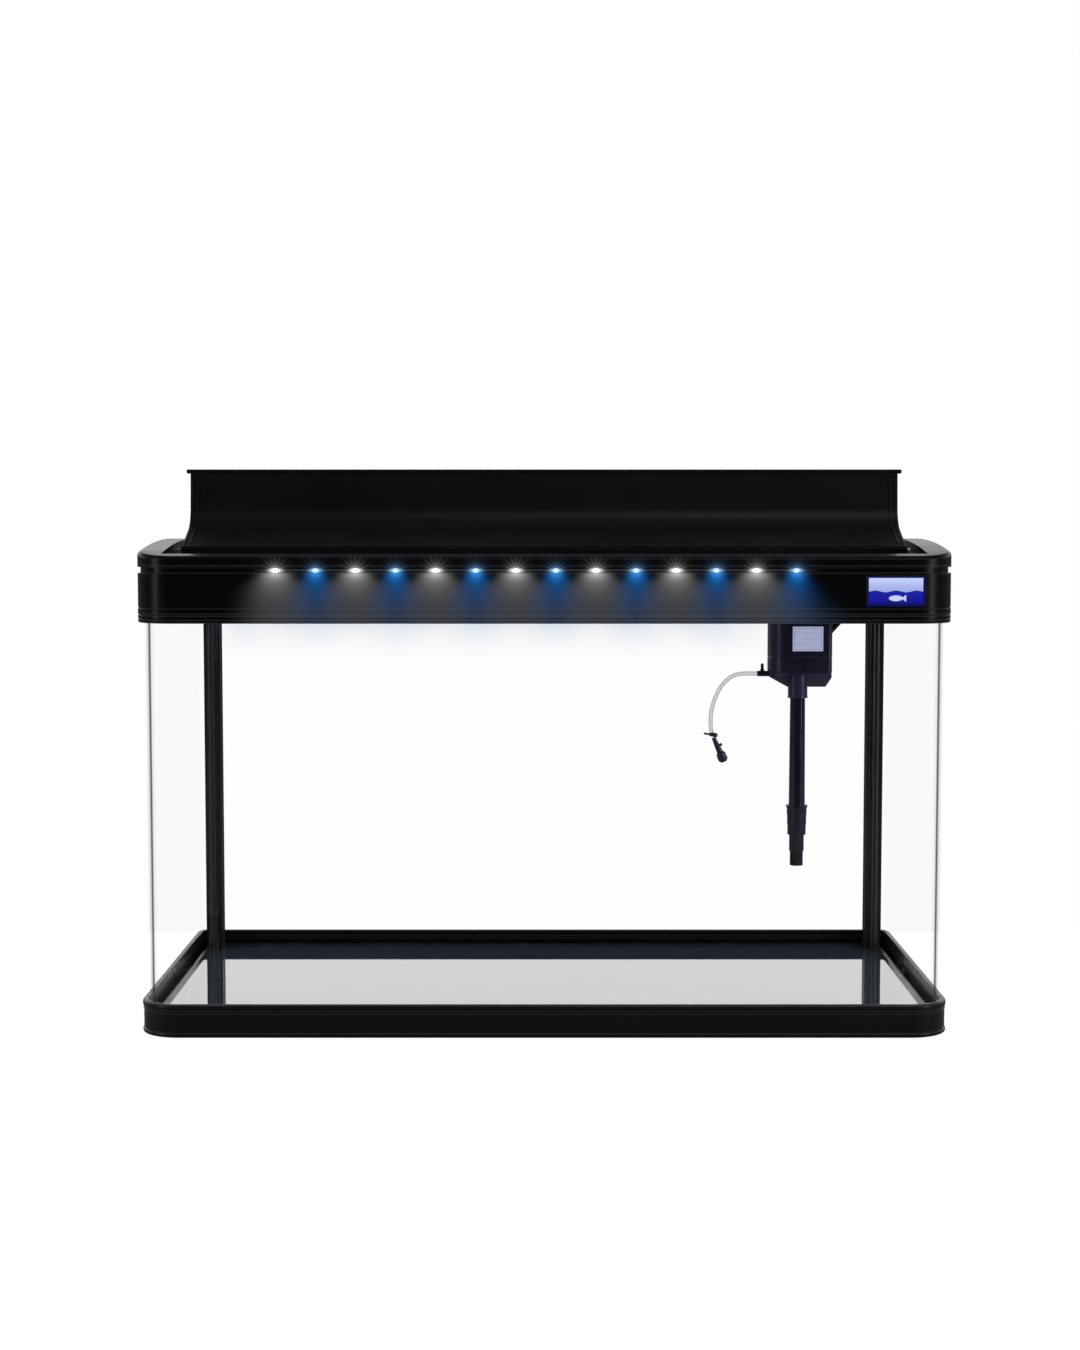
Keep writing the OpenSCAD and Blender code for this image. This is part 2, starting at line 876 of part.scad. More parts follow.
// Walls of the tray that hangs in the deck's opening by its lip
module filter_tray() {
  x = tray_w / 2;
  y = [tray_y - tray_d / 2, tray_y + tray_d / 2];
  lip = step_w - 0.4;
  color([0.12, 0.12, 0.13])
    difference() {
      union() {
        block([-x, y[0], tray_floor_z + tray_wall], [x, y[1], deck_z + flange_t]);
        block([-x - lip, y[0] - lip, deck_z], [x + lip, y[1] + lip, deck_z + flange_t]);
      }
      block([tray_wall - x, y[0] + tray_wall, tray_floor_z],
        [x - tray_wall, y[1] - tray_wall, deck_z + flange_t + 1]);
    }
}

// Floor of the tray, with drain slots at its left end and the spout's hole at its right
module tray_floor() {
  drain_w = 2;
  drain_pitch = 3.6;
  drain_l = 64;
  first = 12 - tray_w / 2;
  color([0.12, 0.12, 0.13])
    difference() {
      translate([-tray_w / 2, tray_y - tray_d / 2, tray_floor_z])
        cube([tray_w, tray_d, tray_wall]);
      for (i = [0:drain_count - 1])
        translate([first + i * drain_pitch, tray_y - drain_l / 2, tray_floor_z - 1])
          cube([drain_w, drain_l, tray_wall + 2]);
      translate([spout_x, pump_y, tray_floor_z - 1])
        cylinder(h = tray_wall + 2, r = spout_r + 0.2);
    }
}

module filter_sponge() {
  color([0.3, 0.35, 0.4])
    block([-tray_w / 2 + 52, tray_y - tray_d / 2 + tray_wall + 1, tray_floor_z + tray_wall + 0.1],
      [spout_x - spout_r - 3, tray_y + tray_d / 2 - tray_wall - 1,
        tray_floor_z + tray_wall + sponge_h]);
}

// Pipe that spreads the pumped water over the sponge
module spray_pipe() {
  color([0.1, 0.1, 0.12])
    difference() {
      union() {
        translate([spout_x - spray_l, pump_y, spray_z])
          rotate([0, 90, 0])
            cylinder(h = spray_l, r = spray_r);
        translate([spout_x, pump_y, spray_z - 6])
          cylinder(h = 6 + spray_r, r = spray_r);
      }
      translate([spout_x - spray_l + 2, pump_y, spray_z])
        rotate([0, 90, 0])
          cylinder(h = spray_l - 2, r = spray_r - 1.5);
      translate([spout_x, pump_y, spray_z - 7])
        cylinder(h = 8, r = spray_r - 1.5);
      for (i = [1:spray_holes])
        translate([spout_x - i * spray_l / (spray_holes + 1), pump_y, spray_z - spray_r - 1])
          cylinder(h = spray_r, r = 1.2);
    }
}

// Spout from the pump up through the tray's floor
module outlet_spout() {
  color([0.08, 0.09, 0.16])
    translate([spout_x, pump_y, pump_top])
      difference() {
        cylinder(h = spray_z - 6 - pump_top, r = spout_r);
        translate([0, 0, -1])
          cylinder(h = 60, r = spout_bore);
      }
}

// ---- Pump ----

// Outline of the pump seen from above: large round corners at the left
module pump_plan(inset) {
  l = pump_left + inset;
  r = pump_right - inset;
  f = pump_front + inset;
  b = pump_front + pump_d - inset;
  big = pump_round - inset;
  small = 4 - inset;
  translate([l, f + big])
    square([r - l, b - f - 2 * big]);
  translate([l + big, f])
    square([r - l - big - small, b - f]);
  translate([r - small - 1, f + small])
    square([small + 1, b - f - 2 * small]);
  for (y = [f + big, b - big])
    translate([l + big, y])
      circle(big);
  for (y = [f + small, b - small])
    translate([r - small, y])
      circle(small);
}

module pump_body() {
  seam_w = 0.6;
  color([0.1, 0.11, 0.2])
    difference() {
      translate([0, 0, pump_z])
        linear_extrude(pump_h)
          pump_plan(0);
      translate([0, 0, pump_z + 11.4])
        linear_extrude(seam_w)
          difference() {
            pump_plan(-1);
            pump_plan(0.5);
          }
      translate([pump_x, pump_y, pump_z - 1])
        cylinder(h = chamber_h + 1, r = chamber_r);
      translate([pump_x, pump_y, pump_z])
        cylinder(h = chamber_h + well_h, r = rotor_r + 0.4);
      translate([pump_x, pump_y, pump_z])
        cylinder(h = shaft_top - pump_z, r = shaft_r);
      translate([spout_x, pump_y, pump_top - 3])
        cylinder(h = 4, r = spout_bore);
      clip_pocket(0);
    }
}

// Shallow pocket for the clip on the pump's front
module clip_pocket(gap) {
  block([pump_x + 1 + gap, pump_front - 1, pump_z + 1.5 + gap],
    [pump_x + 9 - gap, pump_front + 0.8, pump_z + 9 - gap]);
}

// Cover over the pump's chamber: its underside slopes up to the front and to both sides
module pump_cover() {
  seam_w = 0.3;
  front_slope = 20;
  left_slope = 17;
  right_slope = 4;
  skirt_h = 4;
  top = pump_z - seam_w;
  past = cover_h + 2;
  color([0.12, 0.13, 0.22])
    difference() {
      translate([0, 0, cover_z])
        linear_extrude(cover_h - seam_w)
          pump_plan(0.2);
      translate([pump_left - 1, pump_front, top])
        rotate([90, 0, 90])
          linear_extrude(pump_w + 2)
            polygon([[-1, 0], [0, -1.2], [front_slope, -cover_h], [front_slope, -past], [-1, -past]]);
      translate([pump_left - 1, pump_front - 1, top])
        rotate([-90, 0, 0])
          linear_extrude(pump_d + 2)
            polygon([[0, skirt_h], [1, skirt_h], [left_slope, cover_h], [left_slope, past], [0, past]]);
      translate([pump_right, pump_front - 1, top])
        rotate([-90, 0, 0])
          linear_extrude(pump_d + 2)
            polygon([[0, skirt_h], [1, skirt_h], [1, past], [-right_slope, past]]);
      translate([pump_x, pump_y, shaft_low])
        cylinder(h = cover_h, r = shaft_r);
      translate([pipe_x, pipe_y, cover_z - 1])
        cylinder(h = cover_h + 2, r = collar_r);
    }
}

// Blank rating label on the pump's front
module pump_label() {
  color([0.72, 0.75, 0.88])
    translate([pump_x + 4.8 - label_size[0] / 2, pump_front - 0.3, pump_z + 17.5])
      cube([label_size[0], 0.3, label_size[1]]);
}

// Clip that holds the cover
module pump_clip() {
  color([0.04, 0.04, 0.08])
    intersection() {
      clip_pocket(0.3);
      block([pump_x, pump_front - 0.4, pump_z], [pump_x + 10, pump_front + 0.8, pump_z + 10]);
    }
}

// Magnet rotor with its vanes
module rotor() {
  vane_t = 2;
  vane_r = chamber_r - 1.2;
  color([0.35, 0.35, 0.38])
    translate([pump_x, pump_y, pump_z + 0.6])
      difference() {
        union() {
          translate([0, 0, chamber_h])
            cylinder(h = well_h - 2, r = rotor_r);
          cylinder(h = chamber_h + 1, r = 4);
          for (a = [0:60:300])
            rotate([0, 0, a])
              translate([2, -vane_t / 2, 0.4])
                cube([vane_r - 2, vane_t, chamber_h - 2]);
        }
        translate([0, 0, -1])
          cylinder(h = chamber_h + well_h + 2, r = shaft_r + shaft_gap);
      }
}

module rotor_shaft() {
  color([0.85, 0.85, 0.87])
    translate([pump_x, pump_y, shaft_low])
      cylinder(h = shaft_top - shaft_low, r = shaft_r);
}

// Collar in the pump's cover that the suction pipe plugs into
module suction_collar() {
  ring_h = 1.2;
  color([0.06, 0.07, 0.14])
    translate([pipe_x, pipe_y, collar_z])
      difference() {
        union() {
          cylinder(h = pump_z - 1 - collar_z, r = collar_r - 0.1);
          cylinder(h = ring_h, r = collar_r + 0.3);
        }
        translate([0, 0, -1])
          cylinder(h = collar_depth + 1, r = pipe_r - 0.4);
        cylinder(h = pump_z - collar_z + 1, r = pipe_bore);
      }
}

// Suction pipe, a little wider towards its foot, with a straight end in the collar
module suction_pipe() {
  taper = 0.5;
  top_r = pipe_r - taper;
  color([0.06, 0.07, 0.16])
    translate([pipe_x, pipe_y, pipe_low])
      difference() {
        union() {
          cylinder(h = pipe_l - collar_depth, r1 = pipe_r, r2 = top_r);
          translate([0, 0, pipe_l - collar_depth - eps])
            cylinder(h = collar_depth + eps, r = top_r);
        }
        translate([0, 0, -1])
          cylinder(h = pipe_l + 2, r = pipe_bore);
      }
}

// Stepped sleeve on the pipe's foot, with its flange
module stepped_sleeve() {
  color([0.07, 0.08, 0.17])
    translate([pipe_x, pipe_y, sleeve_top])
      rotate([180, 0, 0])
        difference() {
          union() {
            cylinder(h = 2, r = pipe_r + 2.2);
            for (k = [0:2])
              translate([0, 0, k * sleeve_l / 3])
                cylinder(h = sleeve_l / 3, r = pipe_r + 1.5 - 0.3 * k);
          }
          translate([0, 0, -1])
            cylinder(h = sleeve_grip + 1.5, r = pipe_r + sleeve_gap);
          cylinder(h = sleeve_l + 1, r = pipe_r - 2);
        }
}

// Strainer with its slotted foot
module strainer() {
  slots = 10;
  slot_w = 1;
  foot_l = 12;
  foot_r = 5.3;
  wall = 1;
  top = sleeve_top - sleeve_l;
  color([0.06, 0.07, 0.15])
    translate([pipe_x, pipe_y, strainer_low])
      difference() {
        union() {
          cylinder(h = foot_l, r = foot_r);
          translate([0, 0, foot_l])
            cylinder(h = top - strainer_low - foot_l, r = foot_r + 0.7);
        }
        translate([0, 0, 2 * wall])
          cylinder(h = strainer_l, r = foot_r - wall);
        for (k = [0:slots - 1])
          rotate([0, 0, k * 360 / slots])
            translate([foot_r - 2 * wall, -slot_w / 2, 2.5 * wall])
              cube([3 * wall, slot_w, foot_l - 4]);
      }
}

// ---- Air line ----

// Nipple on the pump's left side
module air_nipple() {
  color([0.08, 0.09, 0.18])
    translate([pump_left - nipple_l, pump_y, nipple_z])
      difference() {
        union() {
          rotate([0, 90, 0])
            cylinder(h = nipple_l, r = nipple_r);
          translate([4, 0, 0])
            cylinder(h = 4, r = 1.6);
        }
        translate([4, 0, 1])
          cylinder(h = 4, r = 0.9);
      }
}

// Screw that sets how much air is drawn in
module air_screw() {
  color([0.03, 0.03, 0.05])
    translate([pump_left - nipple_l + 4, pump_y, nipple_z + 1.6]) {
      cylinder(h = 3, r = 0.85);
      translate([0, 0, 2.6])
        cylinder(h = 4, r = 1.25);
    }
}

module air_tube() {
  color([0.85, 0.87, 0.95, 0.6])
    tube(tube_path, hose_r, 10);
}

// Ring clip with a tab, at the end of the hose
module tube_clip() {
  color([0.06, 0.06, 0.1])
    translate(valve_top + [0.3, 0, 1.4])
      rotate([0, 8, 0]) {
        difference() {
          cylinder(h = 3, r = 3.4, center = true);
          cylinder(h = 4, r = hose_r + 0.1, center = true);
        }
        translate([-8, -1.2, -0.8])
          cube([5, 2.4, 1.6]);
      }
}

// Places something on the air valve's slanting axis
module on_valve(s) {
  translate(valve_top)
    rotate([0, 180 - valve_tilt, 0])
      translate([0, 0, s])
        children();
}

module air_valve() {
  color([0.08, 0.09, 0.18])
    on_valve(1)
      difference() {
        union() {
          cylinder(h = valve_l, r1 = 1.7, r2 = valve_r);
          translate([0, 0, valve_l * 0.6])
            rotate([0, -90, 0])
              cylinder(h = valve_r + 1.6, r = 1.2);
        }
        translate([0, 0, valve_l - 4])
          cylinder(h = 5, r = 1.25);
      }
}

module valve_knob() {
  color([0.07, 0.08, 0.16])
    on_valve(1 + valve_l) {
      translate([0, 0, -3.5])
        cylinder(h = 4, r = 1.2);
      translate([0, 0, 0.3])
        cylinder(h = 1.6, r1 = 2.8, r2 = knob_r);
      translate([0, 0, 1.8])
        cylinder(h = knob_l - 3.6, r = knob_r);
      translate([0, 0, knob_l - 2])
        cylinder(h = 1.8, r1 = knob_r, r2 = 2.4);
    }
}

// ---- Mains lead ----

// Strain relief on the pump's right shoulder
module lead_boot() {
  color([0.04, 0.04, 0.07])
    difference() {
      translate(boot_at)
        rotate([0, 45, 0])
          cylinder(h = boot_l - 0.4, r1 = 3, r2 = lead_r + 0.3);
      block([pump_left, pump_front, pump_z], [pump_right + 0.1, pump_front + pump_d, pump_top]);
    }
}

module inner_lead() {
  color([0.03, 0.03, 0.04])
    tube(inner_path, lead_r, 8);
}

// Outlet for the lead in the hood's rear wall
module lead_gland() {
  color([0.05, 0.05, 0.05])
    translate(gland_at)
      rotate([90, 0, 0]) {
        translate([0, 0, -2])
          cylinder(h = 2, r = gland_r + 2);
        translate([0, 0, -9])
          cylinder(h = 7, r1 = lead_r + 0.6, r2 = 3.4);
        cylinder(h = 6, r = gland_r);
      }
}

module outer_lead() {
  color([0.03, 0.03, 0.04])
    tube(outer_path, lead_r, 8);
}

// Outline of the folded lead
module hank_outline(grow) {
  square([hank_run, hank_w + 2 * grow], center = true);
  for (s = [-1, 1])
    translate([s * hank_run / 2, 0])
      circle(hank_w / 2 + grow);
}

module lead_hank() {
  color([0.03, 0.03, 0.04])
    translate(hank_at)
      linear_extrude(hank_h)
        hank_outline(0);
}

// Tie round the middle of the folded lead
module hank_tie() {
  color([0.1, 0.1, 0.1])
    translate(hank_at)
      difference() {
        translate([-tie_w / 2, -hank_w / 2 - tie_t, -tie_t])
          cube([tie_w, hank_w + 2 * tie_t, hank_h + 2 * tie_t]);
        translate([-tie_w, -hank_w / 2, 0])
          cube([2 * tie_w, hank_w, hank_h]);
      }
}

// Flat two-pin plug
module plug_body() {
  color([0.04, 0.04, 0.05])
    translate(plug_at) {
      difference() {
        union() {
          translate([-plug_size[0] / 2, -plug_size[1] / 2, 0])
            cube([plug_size[0] - 13, plug_size[1], plug_size[2]]);
          translate([plug_size[0] / 2 - 14, -8, 1])
            cube([14, 16, plug_size[2] - 2]);
        }
        for (s = [-1, 1])
          translate([-plug_size[0] / 2 - 1, s * prong_gap / 2, plug_size[2] / 2])
            rotate([0, 90, 0])
              cylinder(h = prong_grip + 1, r = prong_r);
      }
      translate([plug_size[0] / 2, 0, plug_size[2] / 2])
        rotate([0, 90, 0])
          cylinder(h = 8, r1 = 4, r2 = lead_r + 0.6);
    }
}

module plug_pins() {
  color([0.75, 0.75, 0.76])
    for (s = [-1, 1])
      translate(plug_at + [-plug_size[0] / 2 - prong_l, s * prong_gap / 2, plug_size[2] / 2])
        rotate([0, 90, 0])
          cylinder(h = prong_l + prong_grip, r = prong_r);
}

base_frame();
foot_pads();
floor_glass();
bent_glass();
back_glass();
left_rear_post();
right_rear_post();
floor_seal();
hood_frame();
seat_pads();
top_frame();
hinge_pins();
led_bar();
white_leds();
blue_leds();
led_driver();
lamp_inlet();
badge();
lid_panel();
lid_hem();
lid_flange();
lid_end_ribs();
rear_hatch();
hatch_grip();
filter_tray();
tray_floor();
filter_sponge();
spray_pipe();
outlet_spout();
pump_body();
pump_cover();
pump_label();
pump_clip();
rotor();
rotor_shaft();
suction_collar();
suction_pipe();
stepped_sleeve();
strainer();
air_nipple();
air_screw();
air_tube();
tube_clip();
air_valve();
valve_knob();
lead_boot();
inner_lead();
lead_gland();
outer_lead();
lead_hank();
hank_tie();
plug_body();
plug_pins();
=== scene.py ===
import json
import math

import bmesh
import bpy
import numpy as np
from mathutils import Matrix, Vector


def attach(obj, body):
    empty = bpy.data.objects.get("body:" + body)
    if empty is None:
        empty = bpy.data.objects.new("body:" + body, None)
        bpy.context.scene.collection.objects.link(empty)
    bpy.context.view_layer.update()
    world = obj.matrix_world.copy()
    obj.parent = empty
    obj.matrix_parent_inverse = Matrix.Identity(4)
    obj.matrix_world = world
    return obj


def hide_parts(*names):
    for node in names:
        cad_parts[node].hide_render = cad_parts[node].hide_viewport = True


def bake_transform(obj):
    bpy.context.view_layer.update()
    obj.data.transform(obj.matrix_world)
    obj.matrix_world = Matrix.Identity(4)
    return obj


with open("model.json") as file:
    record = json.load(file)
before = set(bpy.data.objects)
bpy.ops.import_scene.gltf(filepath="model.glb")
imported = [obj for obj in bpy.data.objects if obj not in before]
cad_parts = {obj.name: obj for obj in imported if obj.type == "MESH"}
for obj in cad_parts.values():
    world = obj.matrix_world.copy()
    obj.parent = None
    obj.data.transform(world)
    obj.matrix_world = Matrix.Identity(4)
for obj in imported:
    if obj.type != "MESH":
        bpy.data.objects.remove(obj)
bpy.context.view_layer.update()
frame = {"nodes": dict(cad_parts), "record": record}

cadNodes = frame["nodes"]
mm = 0.001
print("frame loaded:", len(cadNodes), "nodes")


camera = {
    "place": (-0.0032, -1.7443, 0.3831), "pitchDown": 4.1, "lens": 58.62, "sensor": 36,
    "nearest": 0.05, "farthest": 100,
}


def addCamera():
    data = bpy.data.cameras.new("camera")
    data.lens = camera["lens"]
    data.sensor_width = camera["sensor"]
    data.clip_start = camera["nearest"]
    data.clip_end = camera["farthest"]
    made = bpy.data.objects.new("camera", data)
    made.location = camera["place"]
    made.rotation_euler = (math.radians(90 - camera["pitchDown"]), 0, 0)
    bpy.context.scene.collection.objects.link(made)
    bpy.context.scene.camera = made


addCamera()


def plug(tree, target, value):
    if isinstance(value, Signal):
        tree.links.new(value.socket, target)
    else:
        target.default_value = value


class Signal:
    # wraps one output socket, so that shader maths is written with Python's operators
    def __init__(self, tree, socket):
        self.tree = tree
        self.socket = socket

    def math(self, operation, *values):
        node = self.tree.nodes.new("ShaderNodeMath")
        node.operation = operation
        for target, value in zip(node.inputs, values):
            plug(self.tree, target, value)
        return Signal(self.tree, node.outputs[0])

    def __add__(self, other):
        return self.math("ADD", self, other)

    def __radd__(self, other):
        return self.math("ADD", other, self)

    def __sub__(self, other):
        return self.math("SUBTRACT", self, other)

    def __rsub__(self, other):
        return self.math("SUBTRACT", other, self)

    def __mul__(self, other):
        return self.math("MULTIPLY", self, other)

    def __rmul__(self, other):
        return self.math("MULTIPLY", other, self)

    def __truediv__(self, other):
        return self.math("DIVIDE", self, other)

    def __rtruediv__(self, other):
        return self.math("DIVIDE", other, self)

    def __pow__(self, other):
        return self.math("POWER", self, other)

    def __neg__(self):
        return self.math("MULTIPLY", self, -1)

    def __abs__(self):
        return self.math("ABSOLUTE", self)

    def exp(self):
        return self.math("EXPONENT", self)

    def sqrt(self):
        return self.math("SQRT", self)

    def cos(self):
        return self.math("COSINE", self)

    def atan2(self, other):
        return self.math("ARCTAN2", self, other)

    def fract(self):
        return self.math("FRACT", self)

    def atLeast(self, other):
        return self.math("MAXIMUM", self, other)

    def clip(self):
        return self.math("MINIMUM", self, 1).atLeast(0)

    def bell(self, middle, width):
        # 1 at the middle, falling as e to the minus square of the distance counted in widths
        away = (self - middle) / width
        return (-(away * away)).exp()


class Nodes:
    # makes the nodes of one tree
    def __init__(self, tree):
        self.tree = tree
        tree.nodes.clear()

    def node(self, kind, settings=None, inputs=None, output=0):
        made = self.tree.nodes.new(kind)
        for key, value in (settings or {}).items():
            setattr(made, key, value)
        for key, value in (inputs or {}).items():
            plug(self.tree, made.inputs[key], value)
        return Signal(self.tree, made.outputs[output])

    def split(self, vector):
        parts = self.node("ShaderNodeSeparateXYZ", inputs={0: vector}).socket.node
        return [Signal(self.tree, socket) for socket in parts.outputs]

    def ease(self, value, low, high, outLow=0.0, outHigh=1.0):
        # a smooth step from one level to the other, flat beyond both ends
        return self.node("ShaderNodeMapRange", {"interpolation_type": "SMOOTHSTEP"}, {
            "Value": value, "From Min": low, "From Max": high, "To Min": outLow, "To Max": outHigh})


class Finish(Nodes):
    # one material: a Principled shader whose constants stand on its own sockets
    def __init__(self, name, constants=None):
        self.material = bpy.data.materials.new(name)
        self.material.use_nodes = True
        super().__init__(self.material.node_tree)
        out = self.tree.nodes.new("ShaderNodeOutputMaterial")
        self.shader = self.tree.nodes.new("ShaderNodeBsdfPrincipled")
        for socket, value in (constants or {}).items():
            self.put(socket, value)
        self.tree.links.new(self.shader.outputs[0], out.inputs[0])
        self.at = self.node("ShaderNodeTexCoord", output="Object")

    def put(self, socket, value):
        plug(self.tree, self.shader.inputs[socket], value)

    def axes(self):
        return self.split(self.at)

    def stretched(self, scale):
        return self.node("ShaderNodeMapping", inputs={"Vector": self.at, "Scale": scale})

    def noise(self, scale, detail=3, rough=0.5, vector=None):
        return self.node("ShaderNodeTexNoise", inputs={
            "Vector": vector or self.at, "Scale": scale, "Detail": detail, "Roughness": rough})

    def cells(self, scale):
        return self.node("ShaderNodeTexVoronoi", inputs={"Vector": self.at, "Scale": scale})

    def span(self, value, outLow, outHigh):
        # spreads a noise, which seldom leaves 0.3 to 0.7, over the wanted levels
        return self.node("ShaderNodeMapRange", {"clamp": True}, {
            "Value": value, "From Min": 0.3, "From Max": 0.7, "To Min": outLow, "To Max": outHigh})

    def mix(self, share, first, second):
        settings = {"data_type": "RGBA", "clamp_factor": True}
        first = first if isinstance(first, Signal) else (*first, 1)
        second = second if isinstance(second, Signal) else (*second, 1)
        return self.node("ShaderNodeMix", settings, {0: share, 6: first, 7: second}, output=2)

    def bump(self, height, strength, depth, below=None):
        inputs = {"Height": height, "Strength": strength, "Distance": depth}
        if below:
            inputs["Normal"] = below
        made = self.node("ShaderNodeBump", inputs=inputs)
        self.put("Normal", made)
        return made


def unit(v):
    # each vector divided by its own length
    return v / np.maximum(np.linalg.norm(v, axis=-1, keepdims=True), 1e-12)


def addObject(name, mesh, finish, body, slotName, angle=35):
    mesh.shade_smooth()
    mesh.set_sharp_from_angle(angle=math.radians(angle))
    made = bpy.data.objects.new(name, mesh)
    bpy.context.scene.collection.objects.link(made)
    mesh.materials.clear()
    mesh.materials.append(finish.material)
    # a rounded edge takes its shading from the big faces beside it, so that those stay flat
    level = made.modifiers.new("weighted", "WEIGHTED_NORMAL")
    level.keep_sharp = True
    level.weight = 100
    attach(made, body)
    return made


def meshOf(name, points, faces):
    # merges the doubles that closed seams and poles leave, then turns every face outwards
    mesh = bpy.data.meshes.new(name)
    mesh.from_pydata(np.asarray(points, float).reshape(-1, 3).tolist(), [], faces)
    work = bmesh.new()
    work.from_mesh(mesh)
    bmesh.ops.remove_doubles(work, verts=work.verts, dist=2e-6)
    bmesh.ops.dissolve_degenerate(work, edges=work.edges, dist=1e-6)
    bmesh.ops.recalc_face_normals(work, faces=work.faces)
    work.to_mesh(mesh)
    work.free()
    return mesh


def gridMesh(name, grid, wrapRows=False):
    # rows of points, each row closed on itself: every point joins the next in its row and the same two
    # in the next row; the last row joins the first, or both end rows are filled with one flat face
    rows, columns = grid.shape[:2]
    i, j = np.meshgrid(np.arange(rows if wrapRows else rows - 1), np.arange(columns), indexing="ij")
    i, j = i.ravel(), j.ravel()
    below, beside = (i + 1) % rows, (j + 1) % columns
    corners = [i * columns + j, i * columns + beside, below * columns + beside, below * columns + j]
    faces = np.stack(corners, 1).tolist()
    if not wrapRows:
        faces.append(list(range(columns)))
        faces.append(list(range((rows - 1) * columns, rows * columns)))
    return meshOf(name, grid, faces)


def rounded(corners, steps=5):
    # a closed outline: each corner is an arc that is tangent to both sides, its centre on the bisector
    c = np.array(corners, float)
    p, r = c[:, :2], c[:, 2]
    a, b = unit(np.roll(p, 1, 0) - p), unit(np.roll(p, -1, 0) - p)
    half = np.arccos(np.clip((a * b).sum(1), -0.9999, 0.9999)) / 2
    centre = p + unit(a + b) * (r / np.sin(half))[:, None]
    reach = (r / np.tan(half))[:, None]
    first, last = p + a * reach - centre, p + b * reach - centre
    swing = (math.pi - 2 * half)[:, None]
    t = np.linspace(0, 1, steps + 1)[None, :]
    k0, k1 = np.sin((1 - t) * swing) / np.sin(swing), np.sin(t * swing) / np.sin(swing)
    return (centre[:, None] + k0[..., None] * first[:, None] + k1[..., None] * last[:, None]).reshape(-1, 2)


def loopOf(box, radii, inset, arcSteps):
    # a rounded rectangle pushed in by inset: four quarter circles, one round the centre of each corner
    x0, x1, y0, y1 = box[0] + inset, box[1] - inset, box[2] + inset, box[3] - inset
    r = np.maximum(np.array(radii, float) - inset, 0.4 * mm)
    corner = np.array([[x0, y0], [x1, y0], [x1, y1], [x0, y1]])
    centre = corner + r[:, None] * np.array([[1, 1], [-1, 1], [-1, -1], [1, -1]])
    angle = np.radians([180, 270, 0, 90])[:, None] + np.linspace(0, math.pi / 2, arcSteps + 1)
    arcs = centre[:, None] + r[:, None, None] * np.stack([np.cos(angle), np.sin(angle)], -1)
    return arcs.reshape(-1, 2)


def stackMesh(name, box, radii, levels, arcSteps, ring=False):
    # rings of one outline, each pushed in by its level's inset and set at its height
    grid = np.stack([loopOf(box, radii, inset, arcSteps) for inset, height in levels])
    heights = np.array([height for inset, height in levels])
    grid = np.concatenate([grid, np.broadcast_to(heights[:, None, None], (*grid.shape[:2], 1))], -1)
    return gridMesh(name, grid, wrapRows=ring)


def smoothPath(points, step, pieces=12):
    # a Catmull-Rom spline through the points, then resampled at equal distances
    p = np.array(points, float)
    p = np.concatenate([[2 * p[0] - p[1]], p, [2 * p[-1] - p[-2]]])
    t = np.linspace(0, 1, pieces, endpoint=False)[:, None, None]
    a, b, c, d = p[:-3], p[1:-2], p[2:-1], p[3:]
    squared, cubed = 2 * a - 5 * b + 4 * c - d, 3 * b - a - 3 * c + d
    curve = 0.5 * (2 * b + (c - a) * t + squared * t ** 2 + cubed * t ** 3)
    curve = np.concatenate([curve.transpose(1, 0, 2).reshape(-1, 3), p[-2:-1]])
    run = np.concatenate([[0], np.cumsum(np.linalg.norm(np.diff(curve, axis=0), axis=1))])
    even = np.linspace(0, run[-1], max(int(run[-1] / step), 8) + 1)
    return np.stack([np.interp(even, run, curve[:, k]) for k in range(3)], 1)


def lengthOf(path):
    # the sum of the distances from each point to the next
    return float(np.linalg.norm(np.diff(path, axis=0), axis=1).sum())


def tubeMesh(name, path, radius, sides, bore=0.0):
    # a circle carried along a path: each ring stands square to the mean of the two directions at its point
    ahead = unit(np.gradient(path, axis=0))
    side = np.zeros_like(ahead)
    last = unit(np.cross(ahead[0], [0.3, 0.5, 0.8]))
    for i, way in enumerate(ahead):
        last = unit(last - way * (last @ way))
        side[i] = last
    up = np.cross(ahead, side)
    turn = np.linspace(0, 2 * math.pi, sides, endpoint=False)
    ring = np.cos(turn)[None, :, None] * side[:, None] + np.sin(turn)[None, :, None] * up[:, None]
    outer = path[:, None] + radius * ring
    if not bore:
        return gridMesh(name, outer)
    inner = (path[:, None] + bore * ring)[::-1]
    return gridMesh(name, np.concatenate([outer, inner]), wrapRows=True)


print("tools ready")


studio = {
    "shade": 0.15, "glow": 0.95, "dimGlow": 0.08,
    "left": -2.4, "right": 2.4, "near": -1.0, "far": 0.27, "under": -0.0002,
}
sky = {"behind": 1.62, "level": 0.13, "above": 0.26, "before": 0.045}
softboxes = [
    # name, place, aim, width, height, power, mirrored
    ("topBox", (0.0, 0.1, 1.9), (0.0, 0.0, 0.2), 1.8, 1.1, 16, False),
    ("frontBox", (0.7, -1.7, 2.0), (0.1, 0.0, 0.35), 1.5, 0.5, 6, True),
    ("leftBox", (-2.0, -1.1, 0.9), (0.0, 0.0, 0.25), 0.4, 1.6, 9, True),
    ("rightBox", (2.0, -1.3, 0.8), (0.0, 0.0, 0.25), 0.5, 1.5, 12, True),
    ("rearBox", (0.3, 2.3, 1.4), (0.0, 0.0, 0.2), 2.2, 1.0, 14, False),
]


